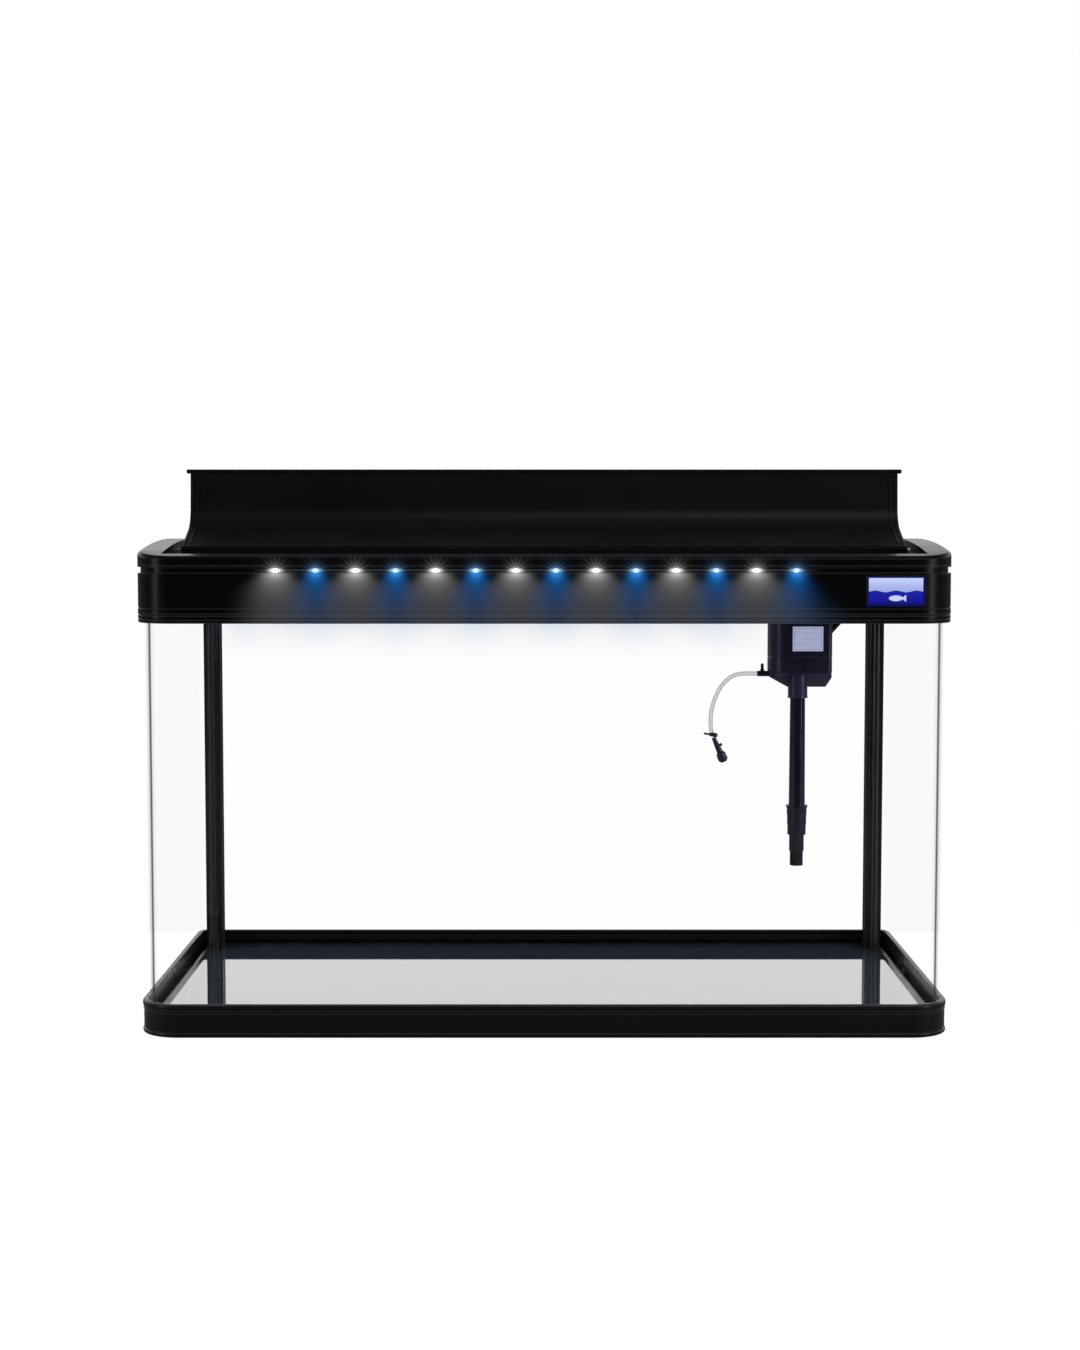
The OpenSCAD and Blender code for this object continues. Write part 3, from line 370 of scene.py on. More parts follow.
def addLamps():
    for name, place, aim, width, height, power, mirrored in softboxes:
        data = bpy.data.lights.new(name, "AREA")
        data.shape = "RECTANGLE"
        data.size, data.size_y = width, height
        data.energy = power
        lamp = bpy.data.objects.new(name, data)
        lamp.location = place
        lamp.rotation_euler = (Vector(aim) - Vector(place)).to_track_quat("-Z", "Y").to_euler()
        lamp.visible_camera = False
        lamp.visible_glossy = mirrored
        bpy.context.scene.collection.objects.link(lamp)


def addSky():
    # white for the camera; for light and reflections it is a bright band low behind the object,
    # dimmer above and at the horizon, and nearly dark before the object
    world = bpy.data.worlds.new("world")
    bpy.context.scene.world = world
    world.use_nodes = True
    nodes = Nodes(world.node_tree)
    y, z = nodes.split(nodes.node("ShaderNodeTexCoord", output="Generated"))[1:]
    band = nodes.ease(z, 0.10, 0.17, sky["level"], sky["behind"])
    band = nodes.ease(z, 0.27, 0.5, band, sky["above"])
    level = nodes.ease(y, -0.25, 0.5, sky["before"], band)
    seen = nodes.node("ShaderNodeLightPath", output="Is Camera Ray")
    strength = level * (1 - seen) + seen
    light = nodes.node("ShaderNodeBackground", inputs={"Color": (1, 1, 1, 1), "Strength": strength})
    plug(nodes.tree, nodes.tree.nodes.new("ShaderNodeOutputWorld").inputs[0], light)


def addFloor():
    # white for the camera and a dim grey for reflections
    f = Finish("floorFinish", {"Base Color": (studio["shade"],) * 3 + (1,), "Emission Color": (1, 1, 1, 1)})
    f.put("Roughness", f.span(f.noise(40, 4), 0.85, 0.95))
    seen = f.node("ShaderNodeLightPath", output="Is Camera Ray")
    f.put("Emission Strength", seen * (studio["glow"] - studio["dimGlow"]) + studio["dimGlow"])
    left, right, near, far = (studio[k] for k in ("left", "right", "near", "far"))
    corners = [[left, near, 0], [right, near, 0], [right, far, 0], [left, far, 0]]
    plane = meshOf("floor", corners, [[0, 1, 2, 3]])
    made = bpy.data.objects.new("floor", plane)
    plane.materials.append(f.material)
    bpy.context.scene.collection.objects.link(made)
    made.location.z = studio["under"]


addLamps()
addSky()
addFloor()
bpy.context.scene.view_settings.view_transform = "Standard"
print("studio ready")


lamps = {
    "first": -195.35 * mm, "last": 182.95 * mm, "pitch": 29.1 * mm, "height": 344.7 * mm,
    "white": (0.108, 0.109, 0.112), "blue": (0.003, 0.055, 0.185),
    "whiteGlint": (1.0, 1.0, 1.06), "blueGlint": (0.22, 0.52, 1.0),
    # how wide a cone starts, and how much wider it gets with each unit of depth
    "whiteCone": (4.5 * mm, 0.95), "blueCone": (3.5 * mm, 0.55),
    "front": (-147.1 * mm, -147.7 * mm), "grooveLightLine": (344.9 * mm, 0.4 * mm, 0.045),
}


def lampGlow(f):
    # painted light: the light that the lamps throw down the front is painted as glow: each lamp's cone is a
    # bell curve that widens and fades with the distance below it, white and blue in turn, plus a small
    # starry glint on the lamp and a thin line of light along the groove
    x, y, z = f.axes()
    first, last, pitch = lamps["first"], lamps["last"], lamps["pitch"]
    below = lamps["height"] - z
    front = f.ease(y, *lamps["front"])
    outside = f.ease(x, first - 0.040, first - 0.005)

    # the way to the nearest lamp of each colour, and beyond the end lamps the way to those
    toWhite = abs(((x - first) / (2 * pitch) + 0.5).fract() - 0.5) * (2 * pitch)
    toBlue = pitch - toWhite
    toWhite = toWhite.atLeast(first - x).atLeast(x - (last - pitch))
    toBlue = toBlue.atLeast(first + pitch - x).atLeast(x - last)
    depth = below.atLeast(4 * mm)
    fade = (12 * mm / depth) ** 1.05 * f.ease(below, 0.4 * mm, 3 * mm)

    def cone(off, wide, spread):
        return off.bell(0, depth * spread + wide) * fade * front

    def glint(off):
        away = (off * off + below * below).sqrt()
        rays = (below.atan2(off) * 8).cos() ** 4 * f.ease(below, 6 * mm, -1 * mm)
        core = off.bell(0, 3.6 * mm) * below.bell(0, 1.2 * mm)
        halo = (-(away / (2.2 * mm))).exp()
        return (core * 1.6 + halo * 0.35 + rays * (-(away / (2.4 * mm))).exp() * 0.6) * front

    parts = {
        "white": cone(toWhite, *lamps["whiteCone"]) * outside,
        "blue": cone(toBlue, *lamps["blueCone"]) * f.ease(below, 16 * mm, 44 * mm, 1, 0.45),
        "whiteGlint": glint(toWhite), "blueGlint": glint(toBlue),
    }
    place, width, height = lamps["grooveLightLine"]
    grooveLightLine = z.bell(place, width) * height * front
    grooveLightLine = grooveLightLine * f.ease(x, first - 0.02, first) * f.ease(x, last + 0.02, last)
    red, green, blue = (sum((level * lamps[name][k] for name, level in parts.items()), grooveLightLine)
                        for k in range(3))
    colour = f.node("ShaderNodeCombineColor", inputs={"Red": red, "Green": green, "Blue": blue})
    f.put("Emission Color", colour)
    f.put("Emission Strength", 1.0)


def edgeHighlights(f, heights, width):
    # painted highlights: fine lines that stand for edges catching the light, one bell curve at each height
    z = f.axes()[2]
    highlightLines = [z.bell(height * mm, width * mm) for height in heights]
    return sum(highlightLines[1:], highlightLines[0]).clip()


hoodGloss = {
    # plain and dusty are the moulding's own colours; line is the colour of the painted highlights set at the
    # listed heights
    "plain": (0.0030, 0.0030, 0.0033), "dusty": (0.007, 0.007, 0.0073), "line": (0.065, 0.065, 0.068),
    "rough": (0.27, 0.37), "coat": (0.0, 0.05),
    "highlightLines": [348.1, 346.6, 342.9, 316.9, 313.0, 311.5, 308.6, 306.6], "lineWide": 0.3,
}


def makeGloss(name):
    # black moulding with faint smears and dust, painted highlight lines along its edges, and the lamps'
    # light painted on it as glow
    f = Finish(name, {"Specular IOR Level": 0.15, "Coat Roughness": 0.08})
    smear = f.noise(9, 4, 0.6, f.stretched((1, 3, 5)))
    dust = f.noise(420, 2, 0.7)
    f.put("Roughness", f.span(smear, *hoodGloss["rough"]) + f.ease(dust, 0.66, 0.74) * 0.15)
    f.put("Coat Weight", f.span(smear, *hoodGloss["coat"]))
    plain = f.mix(f.ease(dust, 0.62, 0.75), hoodGloss["plain"], hoodGloss["dusty"])
    highlightLines = edgeHighlights(f, hoodGloss["highlightLines"], hoodGloss["lineWide"])
    f.put("Base Color", f.mix(highlightLines, plain, hoodGloss["line"]))
    f.bump(f.noise(55, 2, 0.4), 0.03, 0.4 * mm)
    lampGlow(f)
    return f


def makeSatin(name, shade, rough, highlightLines=None):
    # moulded plastic with a fine grain over slow waves, and painted highlight lines at any heights given
    f = Finish(name, {"Specular IOR Level": 0.3})
    fine = f.noise(1500, 2, 0.6)
    wide = f.noise(14, 4, 0.6, f.stretched((1, 2, 3)))
    f.put("Roughness", f.span(wide, rough - 0.05, rough + 0.06))
    lighter = tuple(c * 1.7 + 0.001 for c in shade)
    plain = f.mix(f.span(fine, 0, 1) * 0.6 + f.span(wide, 0, 0.4), shade, lighter)
    if highlightLines:
        plain = f.mix(edgeHighlights(f, highlightLines, 0.35), plain, (0.055, 0.055, 0.058))
    f.put("Base Color", plain)
    f.bump(fine, 0.12, 0.12 * mm, f.bump(wide, 0.05, 0.6 * mm))
    return f


post = {
    # rib is the colour of the painted highlights along the ribs
    "dark": (0.010, 0.010, 0.011), "streak": (0.022, 0.022, 0.023), "rib": (0.12, 0.12, 0.125),
    "ribAt": 285.9 * mm, "ribWide": 1.3 * mm, "secondRib": 3.38 * mm,
}


def makePost():
    # drawn plastic with the streaks of its making, and painted highlights along its two ribs
    f = Finish("postFinish", {"Specular IOR Level": 0.5, "Coat Weight": 0.3, "Coat Roughness": 0.12})
    side = abs(f.axes()[0])
    drawn = f.noise(900, 2, 0.5, f.stretched((1, 1, 0.01)))
    wide = f.noise(20, 3, 0.5, f.stretched((1, 1, 0.3)))
    rib = side.bell(post["ribAt"], post["ribWide"])
    rib = rib + side.bell(post["ribAt"] - post["secondRib"], post["ribWide"]) * 0.6
    plain = f.mix(f.span(drawn, 0, 1), post["dark"], post["streak"])
    f.put("Base Color", f.mix(rib.clip(), plain, post["rib"]))
    f.put("Roughness", f.span(wide, 0.24, 0.36))
    f.bump(drawn, 0.1, 0.1 * mm)
    return f


glass = {
    "clear": (0.0015, 0.03), "silhouette": 0.3, "smear": 0.002, "rim": 0.5,
    "plain": (0.05, 0.06, 0.065), "edge": (0.16, 0.26, 0.24),
    # the middle of a bent corner, and a radius between its inner and its outer face
    "turn": (270 * mm, -120 * mm), "skin": 22.5 * mm,
    # height, place and width of each line on a bent corner: two on the outer face, one on the inner
    "dark": (0.95, 289.4 * mm, 1.25 * mm), "soft": (0.22, 291.6 * mm, 1.2 * mm),
    "faint": (0.09, 288.8 * mm, 0.9 * mm),
    "topRim": (318.6 * mm, 319.4 * mm), "rearRim": (144.6 * mm, 144.9 * mm),
    "sideRim": (289.6 * mm, 289.9 * mm), "paintedGlow": (268 * mm, 308 * mm), "paintedGlowAlpha": 0.12,
    "paintedGlowShade": (0.2, 0.3, 0.4), "paintedGlowEmission": (0.05, 0.26, 0.52),
}


def makeGlass(name):
    # clear seen square on and darker at a glancing angle; each bent corner gets a painted dark line where it
    # turns away, and the lamps' light is painted near the top as a bluish glow
    f = Finish(name, {"Specular IOR Level": 0.6, "IOR": 1.5})
    x, y, z = f.axes()
    side = abs(x)
    facing = f.node("ShaderNodeLayerWeight", inputs={"Blend": 0.5}, output=1)
    smear = f.noise(7, 4, 0.6)
    f.put("Roughness", f.span(smear, 0.012, 0.05))

    across, along = side - glass["turn"][0], y - glass["turn"][1]
    radius = (across * across + along * along).sqrt()
    outer = f.ease(radius, glass["skin"] - mm, glass["skin"] + mm)
    dark, soft, faint = (side.bell(place, width) * height
                         for height, place, width in (glass[k] for k in ("dark", "soft", "faint")))
    line = ((dark + soft) * outer + faint * (1 - outer)) * f.ease(y, -118 * mm, -123 * mm)

    clear = f.ease(facing, 0.5, 0.92, *glass["clear"]) + f.ease(facing, 0.93, 0.99, 0, glass["silhouette"])
    rim = f.ease(z, *glass["topRim"]) + f.ease(y, *glass["rearRim"]) * f.ease(side, *glass["sideRim"])
    # painted glow: the lamps' light on the glass, over the row of lamps and brighter under each
    rows = f.ease(side, 265 * mm, 215 * mm) * f.ease(x, 185 * mm, 150 * mm)
    patch = ((x - lamps["first"]) * (math.pi / lamps["pitch"])).cos() * -0.12 + 0.88
    paintedGlow = f.ease(z, *glass["paintedGlow"]) * rows * patch
    paintedGlow = paintedGlow * paintedGlow
    shade = f.mix(rim.clip(), glass["plain"], glass["edge"])
    f.put("Base Color", f.mix(paintedGlow, shade, glass["paintedGlowShade"]))
    f.put("Emission Color", f.mix(paintedGlow, (0, 0, 0), glass["paintedGlowEmission"]))
    f.put("Emission Strength", 1.0)
    alpha = clear + line + rim * glass["rim"] + f.span(smear, 0, glass["smear"]) + paintedGlow * glass["paintedGlowAlpha"]
    f.put("Alpha", alpha.clip())
    return f


def makeFloorGlass():
    # the bottom pane over a dark underside: a strong mirror with slow waves and a little dust
    f = Finish("floorGlassFinish", {"IOR": 2.9, "Coat Weight": 0.0})
    wide = f.noise(6, 4, 0.5)
    dust = f.noise(600, 2, 0.5)
    f.put("Base Color", f.mix(f.span(wide, 0, 1), (0.036, 0.048, 0.066), (0.048, 0.062, 0.082)))
    f.put("Roughness", f.span(wide, 0.02, 0.045) + f.ease(dust, 0.68, 0.75) * 0.05)
    return f


def makeSealant():
    f = Finish("sealantFinish", {"Specular IOR Level": 0.4})
    lump = f.noise(120, 3, 0.5)
    f.put("Base Color", f.mix(f.span(lump, 0, 1), (0.030, 0.038, 0.050), (0.045, 0.055, 0.070)))
    f.put("Roughness", f.span(lump, 0.12, 0.2))
    f.put("Alpha", f.span(lump, 0.8, 0.9))
    f.bump(lump, 0.03, 0.3 * mm)
    return f


def makeRubber(name, shade):
    f = Finish(name, {"Specular IOR Level": 0.35})
    fine = f.noise(1100, 3, 0.6)
    f.put("Base Color", f.mix(f.span(fine, 0, 1), shade, tuple(c * 1.6 + 0.002 for c in shade)))
    f.put("Roughness", f.span(fine, 0.42, 0.6))
    f.bump(fine, 0.15, 0.1 * mm)
    return f


def makeSteel():
    f = Finish("steelFinish", {"Metallic": 1.0})
    brushed = f.noise(700, 3, 0.6, f.stretched((0.03, 1, 1)))
    f.put("Base Color", f.mix(f.span(brushed, 0, 1), (0.50, 0.50, 0.52), (0.68, 0.68, 0.69)))
    f.put("Roughness", f.span(brushed, 0.16, 0.3))
    f.bump(brushed, 0.08, 0.05 * mm)
    return f


def makeLens(name, shade):
    # a lit lamp, brightest along the middle of its height
    f = Finish(name, {"Base Color": (0.8, 0.85, 0.9, 1), "Roughness": 0.15, "Emission Strength": 2.4})
    core = f.ease(abs(f.axes()[2] - lamps["height"]), 1.6 * mm, 0.7 * mm)
    f.put("Emission Color", f.mix(core, tuple(c * 0.2 for c in shade), shade))
    return f


badge = {
    "middle": (255 * mm, 329.8 * mm), "half": (21.4 * mm, 11.2 * mm), "rim": 1.7 * mm, "sharp": 0.2 * mm,
    "navy": (0.004, 0.004, 0.05), "upper": ((0.36, 0.42, 0.78), (0.56, 0.64, 0.94)),
    "lower": ((0.004, 0.005, 0.20), (0.010, 0.014, 0.38)), "fishShade": (0.55, 0.62, 0.9),
    "waves": 420, "waveHigh": 0.6 * mm,
    "fish": (5.2 * mm, 2.1 * mm), "fishDrop": 5.2 * mm, "tail": 3.4 * mm,
}


def makeBadge():
    # a navy rim round two bands of blue that meet in a low wave, with a plain pale fish on the lower
    # band: an ellipse and a tail whose height grows with the distance behind it
    f = Finish("badgeFinish", {"Coat Weight": 0.3, "Coat Roughness": 0.08})
    x, z = f.axes()[::2]
    sharp, half = badge["sharp"], badge["half"]
    u, v = x - badge["middle"][0], z - badge["middle"][1]
    edge = (abs(u) - half[0]).atLeast(abs(v) - half[1]) + badge["rim"]
    rim = f.ease(edge, -sharp, sharp)
    wave = (u * badge["waves"]).cos() * badge["waveHigh"] - sharp
    upper = f.ease(v - wave, -sharp, sharp)
    top = f.mix(f.ease(v, 0, half[1]), *badge["upper"])
    low = f.mix(f.ease(v, -half[1], 0), *badge["lower"])

    long, tall = badge["fish"]
    row = abs(v + badge["fishDrop"])
    body = f.ease((u / long) ** 2 + (row / tall) ** 2, 1.1, 0.85)
    behind = u - long * 0.8
    tail = f.ease(row - behind * 0.8, sharp, -sharp) * f.ease(behind, 0, sharp)
    tail = tail * f.ease(behind, badge["tail"], badge["tail"] - 0.3 * mm)
    inside = f.mix(upper, f.mix((body + tail).clip(), low, badge["fishShade"]), top)
    shade = f.mix(rim, inside, badge["navy"])
    f.put("Base Color", shade)
    # painted light: the colour is also given as glow, so the badge stays bright beyond what the lamps give
    f.put("Emission Color", shade)
    f.put("Emission Strength", 0.7)
    f.put("Roughness", f.span(f.noise(90, 2), 0.15, 0.3))
    return f


pump = {
    "shade": (0.0200, 0.0185, 0.055), "pipe": (0.0085, 0.0080, 0.030), "seams": [269.5, 256.6],
    "seamHighlight": (0.10, 0.10, 0.17), "coverTop": (257.4 * mm, 256.6 * mm),
    "sheen": (190 * mm, 4.5 * mm), "sheenShade": (0.09, 0.088, 0.20), "sheenFront": (60 * mm, 50 * mm),
}


def makePump(name, shade, rough=0.32, coat=0.0, seams=None):
    f = Finish(name, {"Specular IOR Level": 0.5, "Coat Weight": coat, "Coat Roughness": 0.06})
    fine = f.noise(1600, 2, 0.6)
    wide = f.noise(30, 3, 0.5)
    plain = f.mix(f.span(wide, 0, 0.6) + f.span(fine, 0, 0.4), shade, tuple(c * 1.35 for c in shade))
    if seams:
        # painted light: the cover under the lowest seam is painted a shade lighter as the lit side, each
        # seam's edge gets a painted highlight line, and a painted soft upright highlight lies near the left
        # of the front
        x, y, z = f.axes()
        plain = f.mix(f.ease(z, *pump["coverTop"]), plain, tuple(c * 2.1 for c in shade))
        plain = f.mix(edgeHighlights(f, seams, 0.25), plain, pump["seamHighlight"])
        sheen = x.bell(*pump["sheen"]) * f.ease(y, *pump["sheenFront"])
        plain = f.mix(sheen * 0.4, plain, pump["sheenShade"])
    f.put("Base Color", plain)
    f.put("Roughness", f.span(wide, rough - 0.05, rough + 0.06))
    f.bump(fine, 0.1, 0.08 * mm)
    return f


label = {
    "middle": (214.4 * mm, 284.7 * mm), "half": (12.4 * mm, 10 * mm),
    "frameIn": 1.5 * mm, "rowEvery": 5 * mm,
    "paper": ((0.44, 0.48, 0.70), (0.50, 0.54, 0.75)), "ink": (0.10, 0.11, 0.22),
}


def makeLabel():
    # a blank film label: a thin frame line and three empty ruled lines
    f = Finish("labelFinish", {"Roughness": 0.3})
    x, z = f.axes()[::2]
    u, v = abs(x - label["middle"][0]), abs(z - label["middle"][1])
    edge = (u - label["half"][0]).atLeast(v - label["half"][1]) + label["frameIn"]
    frameLine = f.ease(abs(edge), 0.3 * mm, 0.12 * mm)
    row = ((z - label["middle"][1]) / label["rowEvery"] + 0.5).fract()
    rows = f.ease(abs(row - 0.5), 0.035, 0.015) * f.ease(edge, -1.2 * mm, -1.6 * mm)
    paper = f.mix(f.span(f.noise(300, 2), 0, 1), *label["paper"])
    shade = f.mix((frameLine * 0.5 + rows * 0.35).clip(), paper, label["ink"])
    f.put("Base Color", shade)
    # painted light: the colour is also given as glow, so the label stays bright beyond what the lamps give
    f.put("Emission Color", shade)
    f.put("Emission Strength", 0.6)
    f.put("Roughness", f.span(f.noise(60, 2), 0.25, 0.4))
    return f


def makeHose():
    # clear seen square on, milky towards its sides
    f = Finish("hoseFinish", {"Specular IOR Level": 0.6})
    facing = f.node("ShaderNodeLayerWeight", inputs={"Blend": 0.4}, output=1)
    wide = f.noise(90, 2, 0.5)
    f.put("Base Color", f.mix(f.span(wide, 0, 1), (0.34, 0.36, 0.56), (0.42, 0.44, 0.64)))
    f.put("Roughness", f.span(wide, 0.12, 0.22))
    f.put("Alpha", (facing ** 1.5 * 0.8 + 0.12).clip())
    return f


def makeSponge():
    f = Finish("spongeFinish", {"Specular IOR Level": 0.2})
    cell = f.cells(650)
    f.put("Base Color", f.mix(f.ease(cell, 0.1, 0.6), (0.008, 0.010, 0.014), (0.05, 0.06, 0.08)))
    f.put("Roughness", f.span(f.noise(40, 3), 0.85, 0.95))
    f.bump(cell, 0.9, 1.2 * mm)
    return f


def makeMagnet():
    f = Finish("magnetFinish", {"Specular IOR Level": 0.5})
    fine = f.noise(800, 3, 0.6)
    f.put("Base Color", f.mix(f.span(fine, 0, 1), (0.06, 0.06, 0.065), (0.12, 0.12, 0.125)))
    f.put("Roughness", f.span(fine, 0.4, 0.6))
    f.put("Metallic", f.span(fine, 0.3, 0.6))
    f.bump(fine, 0.2, 0.1 * mm)
    return f


finishes = {
    "hood_plastic": makeGloss("hoodFinish"),
    "lid_plastic": makeSatin("lidFinish", (0.0030, 0.0030, 0.0033), 0.42),
    "foot_plastic": makeSatin("footFinish", (0.0032, 0.0032, 0.0035), 0.3, highlightLines=[4.1, 18.6, 20.7, 24.9]),
    "inner_plastic": makeSatin("innerFinish", (0.008, 0.008, 0.009), 0.45),
    "post_plastic": makePost(),
    "clear_glass": makeGlass("glassFinish"),
    "floor_glass": makeFloorGlass(),
    "sealant": makeSealant(),
    "soft_pad": makeRubber("padFinish", (0.03, 0.03, 0.032)),
    "lead_rubber": makeRubber("leadFinish", (0.006, 0.006, 0.008)),
    "steel": makeSteel(),
    "lamp_bar": makeGloss("barFinish"),
    "white_lens": makeLens("whiteLensFinish", (1.0, 1.0, 1.0)),
    "blue_lens": makeLens("blueLensFinish", (0.25, 0.55, 1.0)),
    "badge_enamel": makeBadge(),
    "pump_plastic": makePump("pumpFinish", pump["shade"], seams=pump["seams"]),
    "pipe_plastic": makePump("pipeFinish", pump["pipe"], 0.15, coat=0.7),
    "label": makeLabel(),
    "clear_hose": makeHose(),
    "sponge": makeSponge(),
    "magnet": makeMagnet(),
}
slotOf = {part["node"]: part["material_slot"] for part in frame["record"]["subparts"]}
bodyOf = {node: body for body, nodes in frame["record"]["behaviour"]["bodies"].items() for node in nodes}
for node, made in cadNodes.items():
    made.data.materials.clear()
    made.data.materials.append(finishes[slotOf[node]].material)
print("finishes ready:", len(finishes))


def soften(node, *rounds, angle=30):
    # the node's own shape with its sharp edges rounded: each round has a width in mm, a number of
    # steps and, where not every edge is meant, a test that picks edges by their middle
    mesh = cadNodes[node].data.copy()
    work = bmesh.new()
    work.from_mesh(mesh)
    bmesh.ops.remove_doubles(work, verts=work.verts, dist=1e-6)
    bmesh.ops.dissolve_limit(work, angle_limit=math.radians(0.5), verts=work.verts, edges=work.edges)
    for width, steps, picks in rounds:
        chosen = [e for e in work.edges
                  if len(e.link_faces) == 2 and e.calc_face_angle(0) > math.radians(angle)
                  and (picks is None or picks((e.verts[0].co + e.verts[1].co) / 2))]
        bmesh.ops.bevel(work, geom=chosen, offset=width * mm, segments=steps, profile=0.5,
                        affect="EDGES", clamp_overlap=True)
    work.to_mesh(mesh)
    work.free()
    made = addObject(node + "Piece", mesh, finishes[slotOf[node]], bodyOf[node], slotOf[node], angle)
    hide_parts(node)


def softenAll(edges):
    for node, (width, steps) in edges.items():
        soften(node, (width, steps, None))


# the outside of the tank, which the hood shares: left, right, front, rear, and a radius for each corner
tankBox = (-0.3, 0.3, -0.15, 0.15)
tankRadii = (0.03, 0.03, 0.01, 0.01)

foot = {
    # inset from the outer face, height and rounding of each corner of the ring's section, in mm
    "outline": [
        (4.7, 0.8, 0), (0, 0.8, 1.5), (0, 4.0, 1.3), (1.2, 4.15, 0.15), (1.2, 4.7, 0.15), (0.8, 4.9, 0.15),
        (0.8, 18.1, 0.1), (0.35, 18.3, 0.15), (0.35, 18.8, 0.15), (0.8, 19.0, 0.1), (0.8, 20.2, 0.1),
        (0.35, 20.4, 0.15), (0.35, 20.9, 0.15), (0.8, 21.1, 0.1), (0, 21.4, 0.5), (0, 25.5, 2.2),
        (4.7, 25.5, 1.2), (4.7, 7.4, 0), (30.7, 7.4, 0.3), (30.7, 3.8, 0.3), (4.7, 3.8, 0),
    ],
    # the cross ribs under the floor glass: inset and height of each level
    "ribs": 3, "ribWide": 20, "ribDepth": 248, "ribRadius": 1,
    "ribLevels": [(0.4, 3.8), (0, 4.2), (0, 7.35)],
}
hoodRing = {
    "outline": [
        (3, 306, 0.9), (0, 306, 1.6), (0, 308.55, 0.3), (0.7, 308.75, 0.1), (0.7, 309.2, 0.1),
        (0, 309.4, 0.3), (0, 311.55, 0.3), (0.7, 311.75, 0.1), (0.7, 312.2, 0.1), (0, 312.4, 0.3),
        (0, 316.4, 0.3), (0.7, 316.6, 0.1), (0.7, 317.15, 0.1), (0.15, 317.35, 0.3), (0.15, 342.5, 0.4),
        (3, 342.5, 0),
        (3, 324.8, 0), (17, 324.8, 0.3), (17, 321.8, 0.3), (3, 321.8, 0),
    ],
}
# how far the edges of each plain piece are rounded, in mm, and in how many steps
tankEdges = {
    "foot_pads": (0.6, 2), "left_rear_post": (0.6, 3), "right_rear_post": (0.6, 3), "floor_glass": (0.5, 2),
}


def ringFrom(outline, name):
    # the section's outline with its corners rounded, carried once round the tank
    levels = rounded([(inset * mm, height * mm, radius * mm) for inset, height, radius in outline])
    return stackMesh(name, tankBox, tankRadii, levels, arcSteps=20, ring=True)


def footRibs():
    # bars from front to rear at equal distances, each a stack of rectangles with a bevelled lower edge
    half, deep = foot["ribWide"] / 2 * mm, foot["ribDepth"] / 2 * mm
    levels = [(inset * mm, height * mm) for inset, height in foot["ribLevels"]]
    for i in range(foot["ribs"]):
        x = ((i + 1) / (foot["ribs"] + 1) - 0.5) * (tankBox[1] - tankBox[0])
        box = (x - half, x + half, -deep, deep)
        yield stackMesh("rib", box, (foot["ribRadius"] * mm,) * 4, levels, arcSteps=2)


def joined(name, meshes):
    work = bmesh.new()
    for mesh in meshes:
        work.from_mesh(mesh)
    made = bpy.data.meshes.new(name)
    work.to_mesh(made)
    work.free()
    return made


def makeTank():
    ring = joined("foot", [ringFrom(foot["outline"], "footRing"), *footRibs()])
    base = addObject("footPiece", ring, finishes["foot_plastic"], "tank", "foot_plastic")
    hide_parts("base_frame")
    ring = ringFrom(hoodRing["outline"], "hoodRing")
    hood = addObject("hoodRingPiece", ring, finishes["hood_plastic"], "hood", "hood_plastic")
    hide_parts("hood_frame")
    softenAll(tankEdges)


makeTank()
print("tank made")


hoodTop = {
    # edges above the lowest height stand on show, the rest are hidden; places here are in metres
    "lowest": 0.3535, "side": (0.2985, 0.1485),
    # centre and radius of an arc just inside each outer corner
    "frontTurn": (0.27, -0.12, 0.029), "rearTurn": (0.29, 0.14, 0.009),
    # roundings: width in mm and steps
    "outer": (3.2, 5), "inner": (1.1, 3), "hidden": (0.4, 2),
}
hoodEdges = {
    "lid_panel": (0.5, 3), "lid_hem": (0.3, 2), "lid_flange": (0.7, 3), "lid_end_ribs": (0.3, 2),
    "rear_hatch": (0.5, 3), "hatch_grip": (1, 3), "filter_tray": (0.5, 2), "tray_floor": (0.3, 2),
    "filter_sponge": (1.5, 3), "led_driver": (1, 3), "badge": (0.15, 2), "seat_pads": (0.3, 2),
}


def outside(p):
    # past the straight sides, or past the arc of a corner
    side, y = abs(p.x), p.y
    x0, y0, radius = hoodTop["frontTurn"]
    frontTurn = y < y0 and side > x0 and math.hypot(side - x0, y - y0) > radius
    x0, y0, radius = hoodTop["rearTurn"]
    rearTurn = y > y0 and math.hypot(side - x0, y - y0) > radius
    return side > hoodTop["side"][0] or abs(y) > hoodTop["side"][1] or frontTurn or rearTurn


def makeHood():
    lowest = hoodTop["lowest"]
    soften("top_frame",
           (*hoodTop["outer"], lambda p: p.z > lowest and outside(p)),
           (*hoodTop["inner"], lambda p: p.z > lowest and not outside(p)),
           (*hoodTop["hidden"], lambda p: p.z < lowest), angle=25)
    softenAll(hoodEdges)


makeHood()
print("hood, lid and hatch made")


pumpEdges = {"pump_body": (0.9, 3), "pump_cover": (0.9, 3), "pump_label": (0.1, 2), "pump_clip": (0.3, 2)}
fineNodes = (
    "spray_pipe", "outlet_spout", "suction_collar", "suction_pipe", "stepped_sleeve", "strainer",
    "air_nipple", "air_screw", "air_valve", "valve_knob", "lead_boot", "lead_gland", "lamp_inlet", "rotor",
)
pumpEdges.update((node, (0.2, 2)) for node in fineNodes)
pumpEdges["tube_clip"] = (0.3, 2)

softenAll(pumpEdges)
print("pump made")


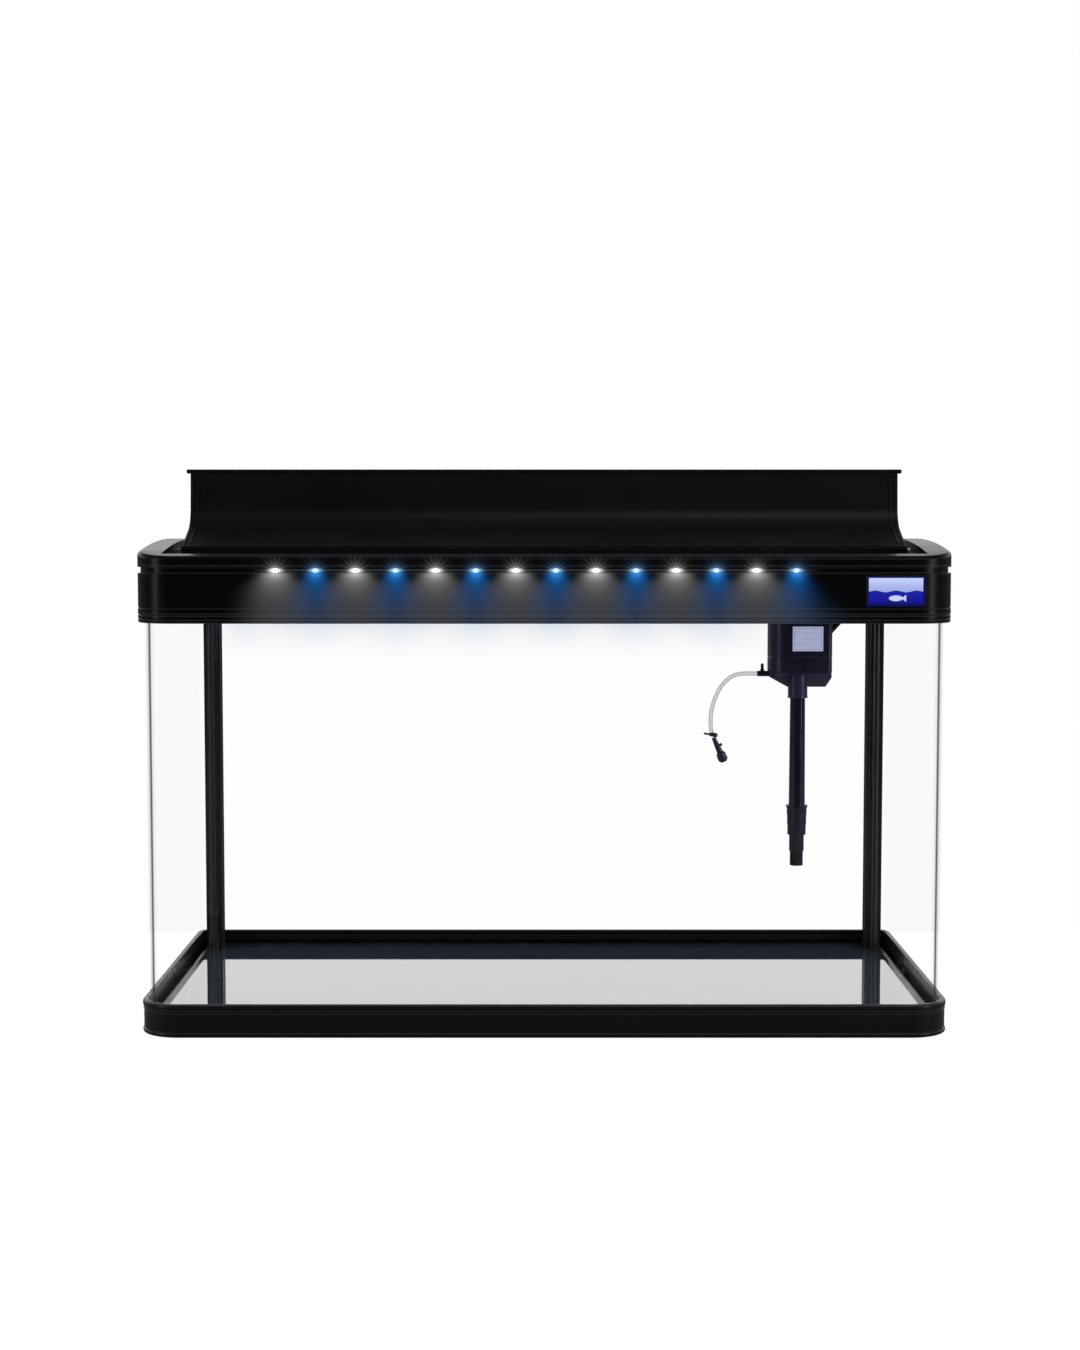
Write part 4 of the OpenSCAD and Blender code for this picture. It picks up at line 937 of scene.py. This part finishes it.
hose = {
    "radius": 1.8, "bore": 1.2, "length": 0.077, "sides": 20, "step": 1.0,
    "path": [[175.5, 60, 255], [165, 60, 255], [158, 60, 254], [153, 60, 251.5], [149, 60, 248],
             [145, 60, 243], [142, 60, 237], [139.5, 60, 230.5], [138, 60, 224], [137.5, 60, 217.5],
             [137.5, 60, 212], [138, 60, 208], [139, 60, 204]],
}
lead = {
    "radius": 1.8, "length": 1.6, "sides": 14, "step": 1.6,
    "inner": [[242, 60, 297], [245, 60, 300], [252, 60, 307], [259, 62, 314], [265, 68, 320], [271, 78, 325],
              [277, 92, 329], [282, 106, 331], [286, 120, 331], [287, 134, 331], [287, 144, 331]],
    "outer": [[287, 152, 331], [287, 159, 331], [287, 166, 331], [287, 173, 329], [287, 179, 324],
              [287, 182, 316], [287, 183, 304], [287, 182, 280], [287, 180, 240], [287, 178, 200],
              [287, 177, 160], [287, 176, 120], [287, 175, 80], [287, 174, 50], [286, 173, 30],
              [282, 172, 16], [275, 171, 8], [266, 171.5, 4], [257, 174, 2.9], [248, 178.5, 2.8],
              [238, 182.8, 2.8]],
    "tail": [[176, 184.3, 10], [168, 182.6, 9.6], [159, 178.4, 8.4], [150, 173.5, 7.2], [143, 170.8, 6.8],
             [134, 170, 6.8]],
    # the ends of the stretch that the hood's lift would draw out
    "stretchFrom": (0.287, 0.182, 0.30), "stretchTo": (0.287, 0.175, 0.05),
}
hank = {
    "middle": (206, 170), "run": 44, "rows": [2.8, 6.4, 10.0], "wide": [14.4, 10.8], "steps": 40,
    # row and width of each turn in order, and the share of a turn where it starts to ease into the next
    "turns": [(0, 0), (0, 1), (1, 1), (1, 0), (2, 1), (2, 0)], "easeFrom": 0.62, "easeOver": 0.36,
}
leadEdges = {"hank_tie": (0.3, 2), "plug_body": (1.2, 3), "plug_pins": (0.6, 3)}


def hankPath():
    # turns of an oblong: two straight runs and two half circles; a turn eases into the next one's
    # width and height over its last half circle
    rows, wides = zip(*hank["turns"])
    wide = np.array([hank["wide"][k] for k in (*wides, 0)], float)
    high = np.array([hank["rows"][k] for k in (*rows, 2)], float)
    share = np.arange(0, len(hank["turns"]), 1 / hank["steps"])
    turn = share.astype(int)
    part = share - turn
    ease = np.clip((part - hank["easeFrom"]) / hank["easeOver"], 0, 1)
    ease = ease * ease * (3 - 2 * ease)
    r = wide[turn] * (1 - ease) + wide[turn + 1] * ease
    z = high[turn] * (1 - ease) + high[turn + 1] * ease
    half = hank["run"] / 2
    quarters = [0, 0.25, 0.5, 0.75, 1]
    across = np.interp(part, quarters, [half, -half, -half, half, half])
    swing = np.interp(part, quarters, [0, 0, math.pi, math.pi, 2 * math.pi])
    x = hank["middle"][0] + across - r * np.sin(swing)
    y = hank["middle"][1] + r * np.cos(swing)
    lastRun = [[hank["middle"][0] + way * half, y[0], high[-1]] for way in (1, -1)]
    return np.stack([x, y, z], 1).tolist() + lastRun


def makeHoseLine():
    path = smoothPath(hose["path"], hose["step"]) * mm
    mesh = tubeMesh("airHose", path, hose["radius"] * mm, hose["sides"], hose["bore"] * mm)
    tube = addObject("airHose", mesh, finishes["clear_hose"], "hood", "clear_hose")
    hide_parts("air_tube")
    print("hose", round(lengthOf(path), 4))


def makeLead():
    path = smoothPath(lead["inner"] + lead["outer"] + hankPath() + lead["tail"], lead["step"]) * mm
    mesh = tubeMesh("mainsLead", path, lead["radius"] * mm, lead["sides"])
    flex = addObject("mainsLead", mesh, finishes["lead_rubber"], "tank", "lead_rubber")
    flex.parent = None  # it belongs to two bodies, so it is left without a parent
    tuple(lead["stretchFrom"])
    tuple(lead["stretchTo"])
    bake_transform(flex)
    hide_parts("inner_lead", "outer_lead", "lead_hank")
    print("lead", round(lengthOf(path), 3))


softenAll(leadEdges)
makeHoseLine()
makeLead()
print("cords made")
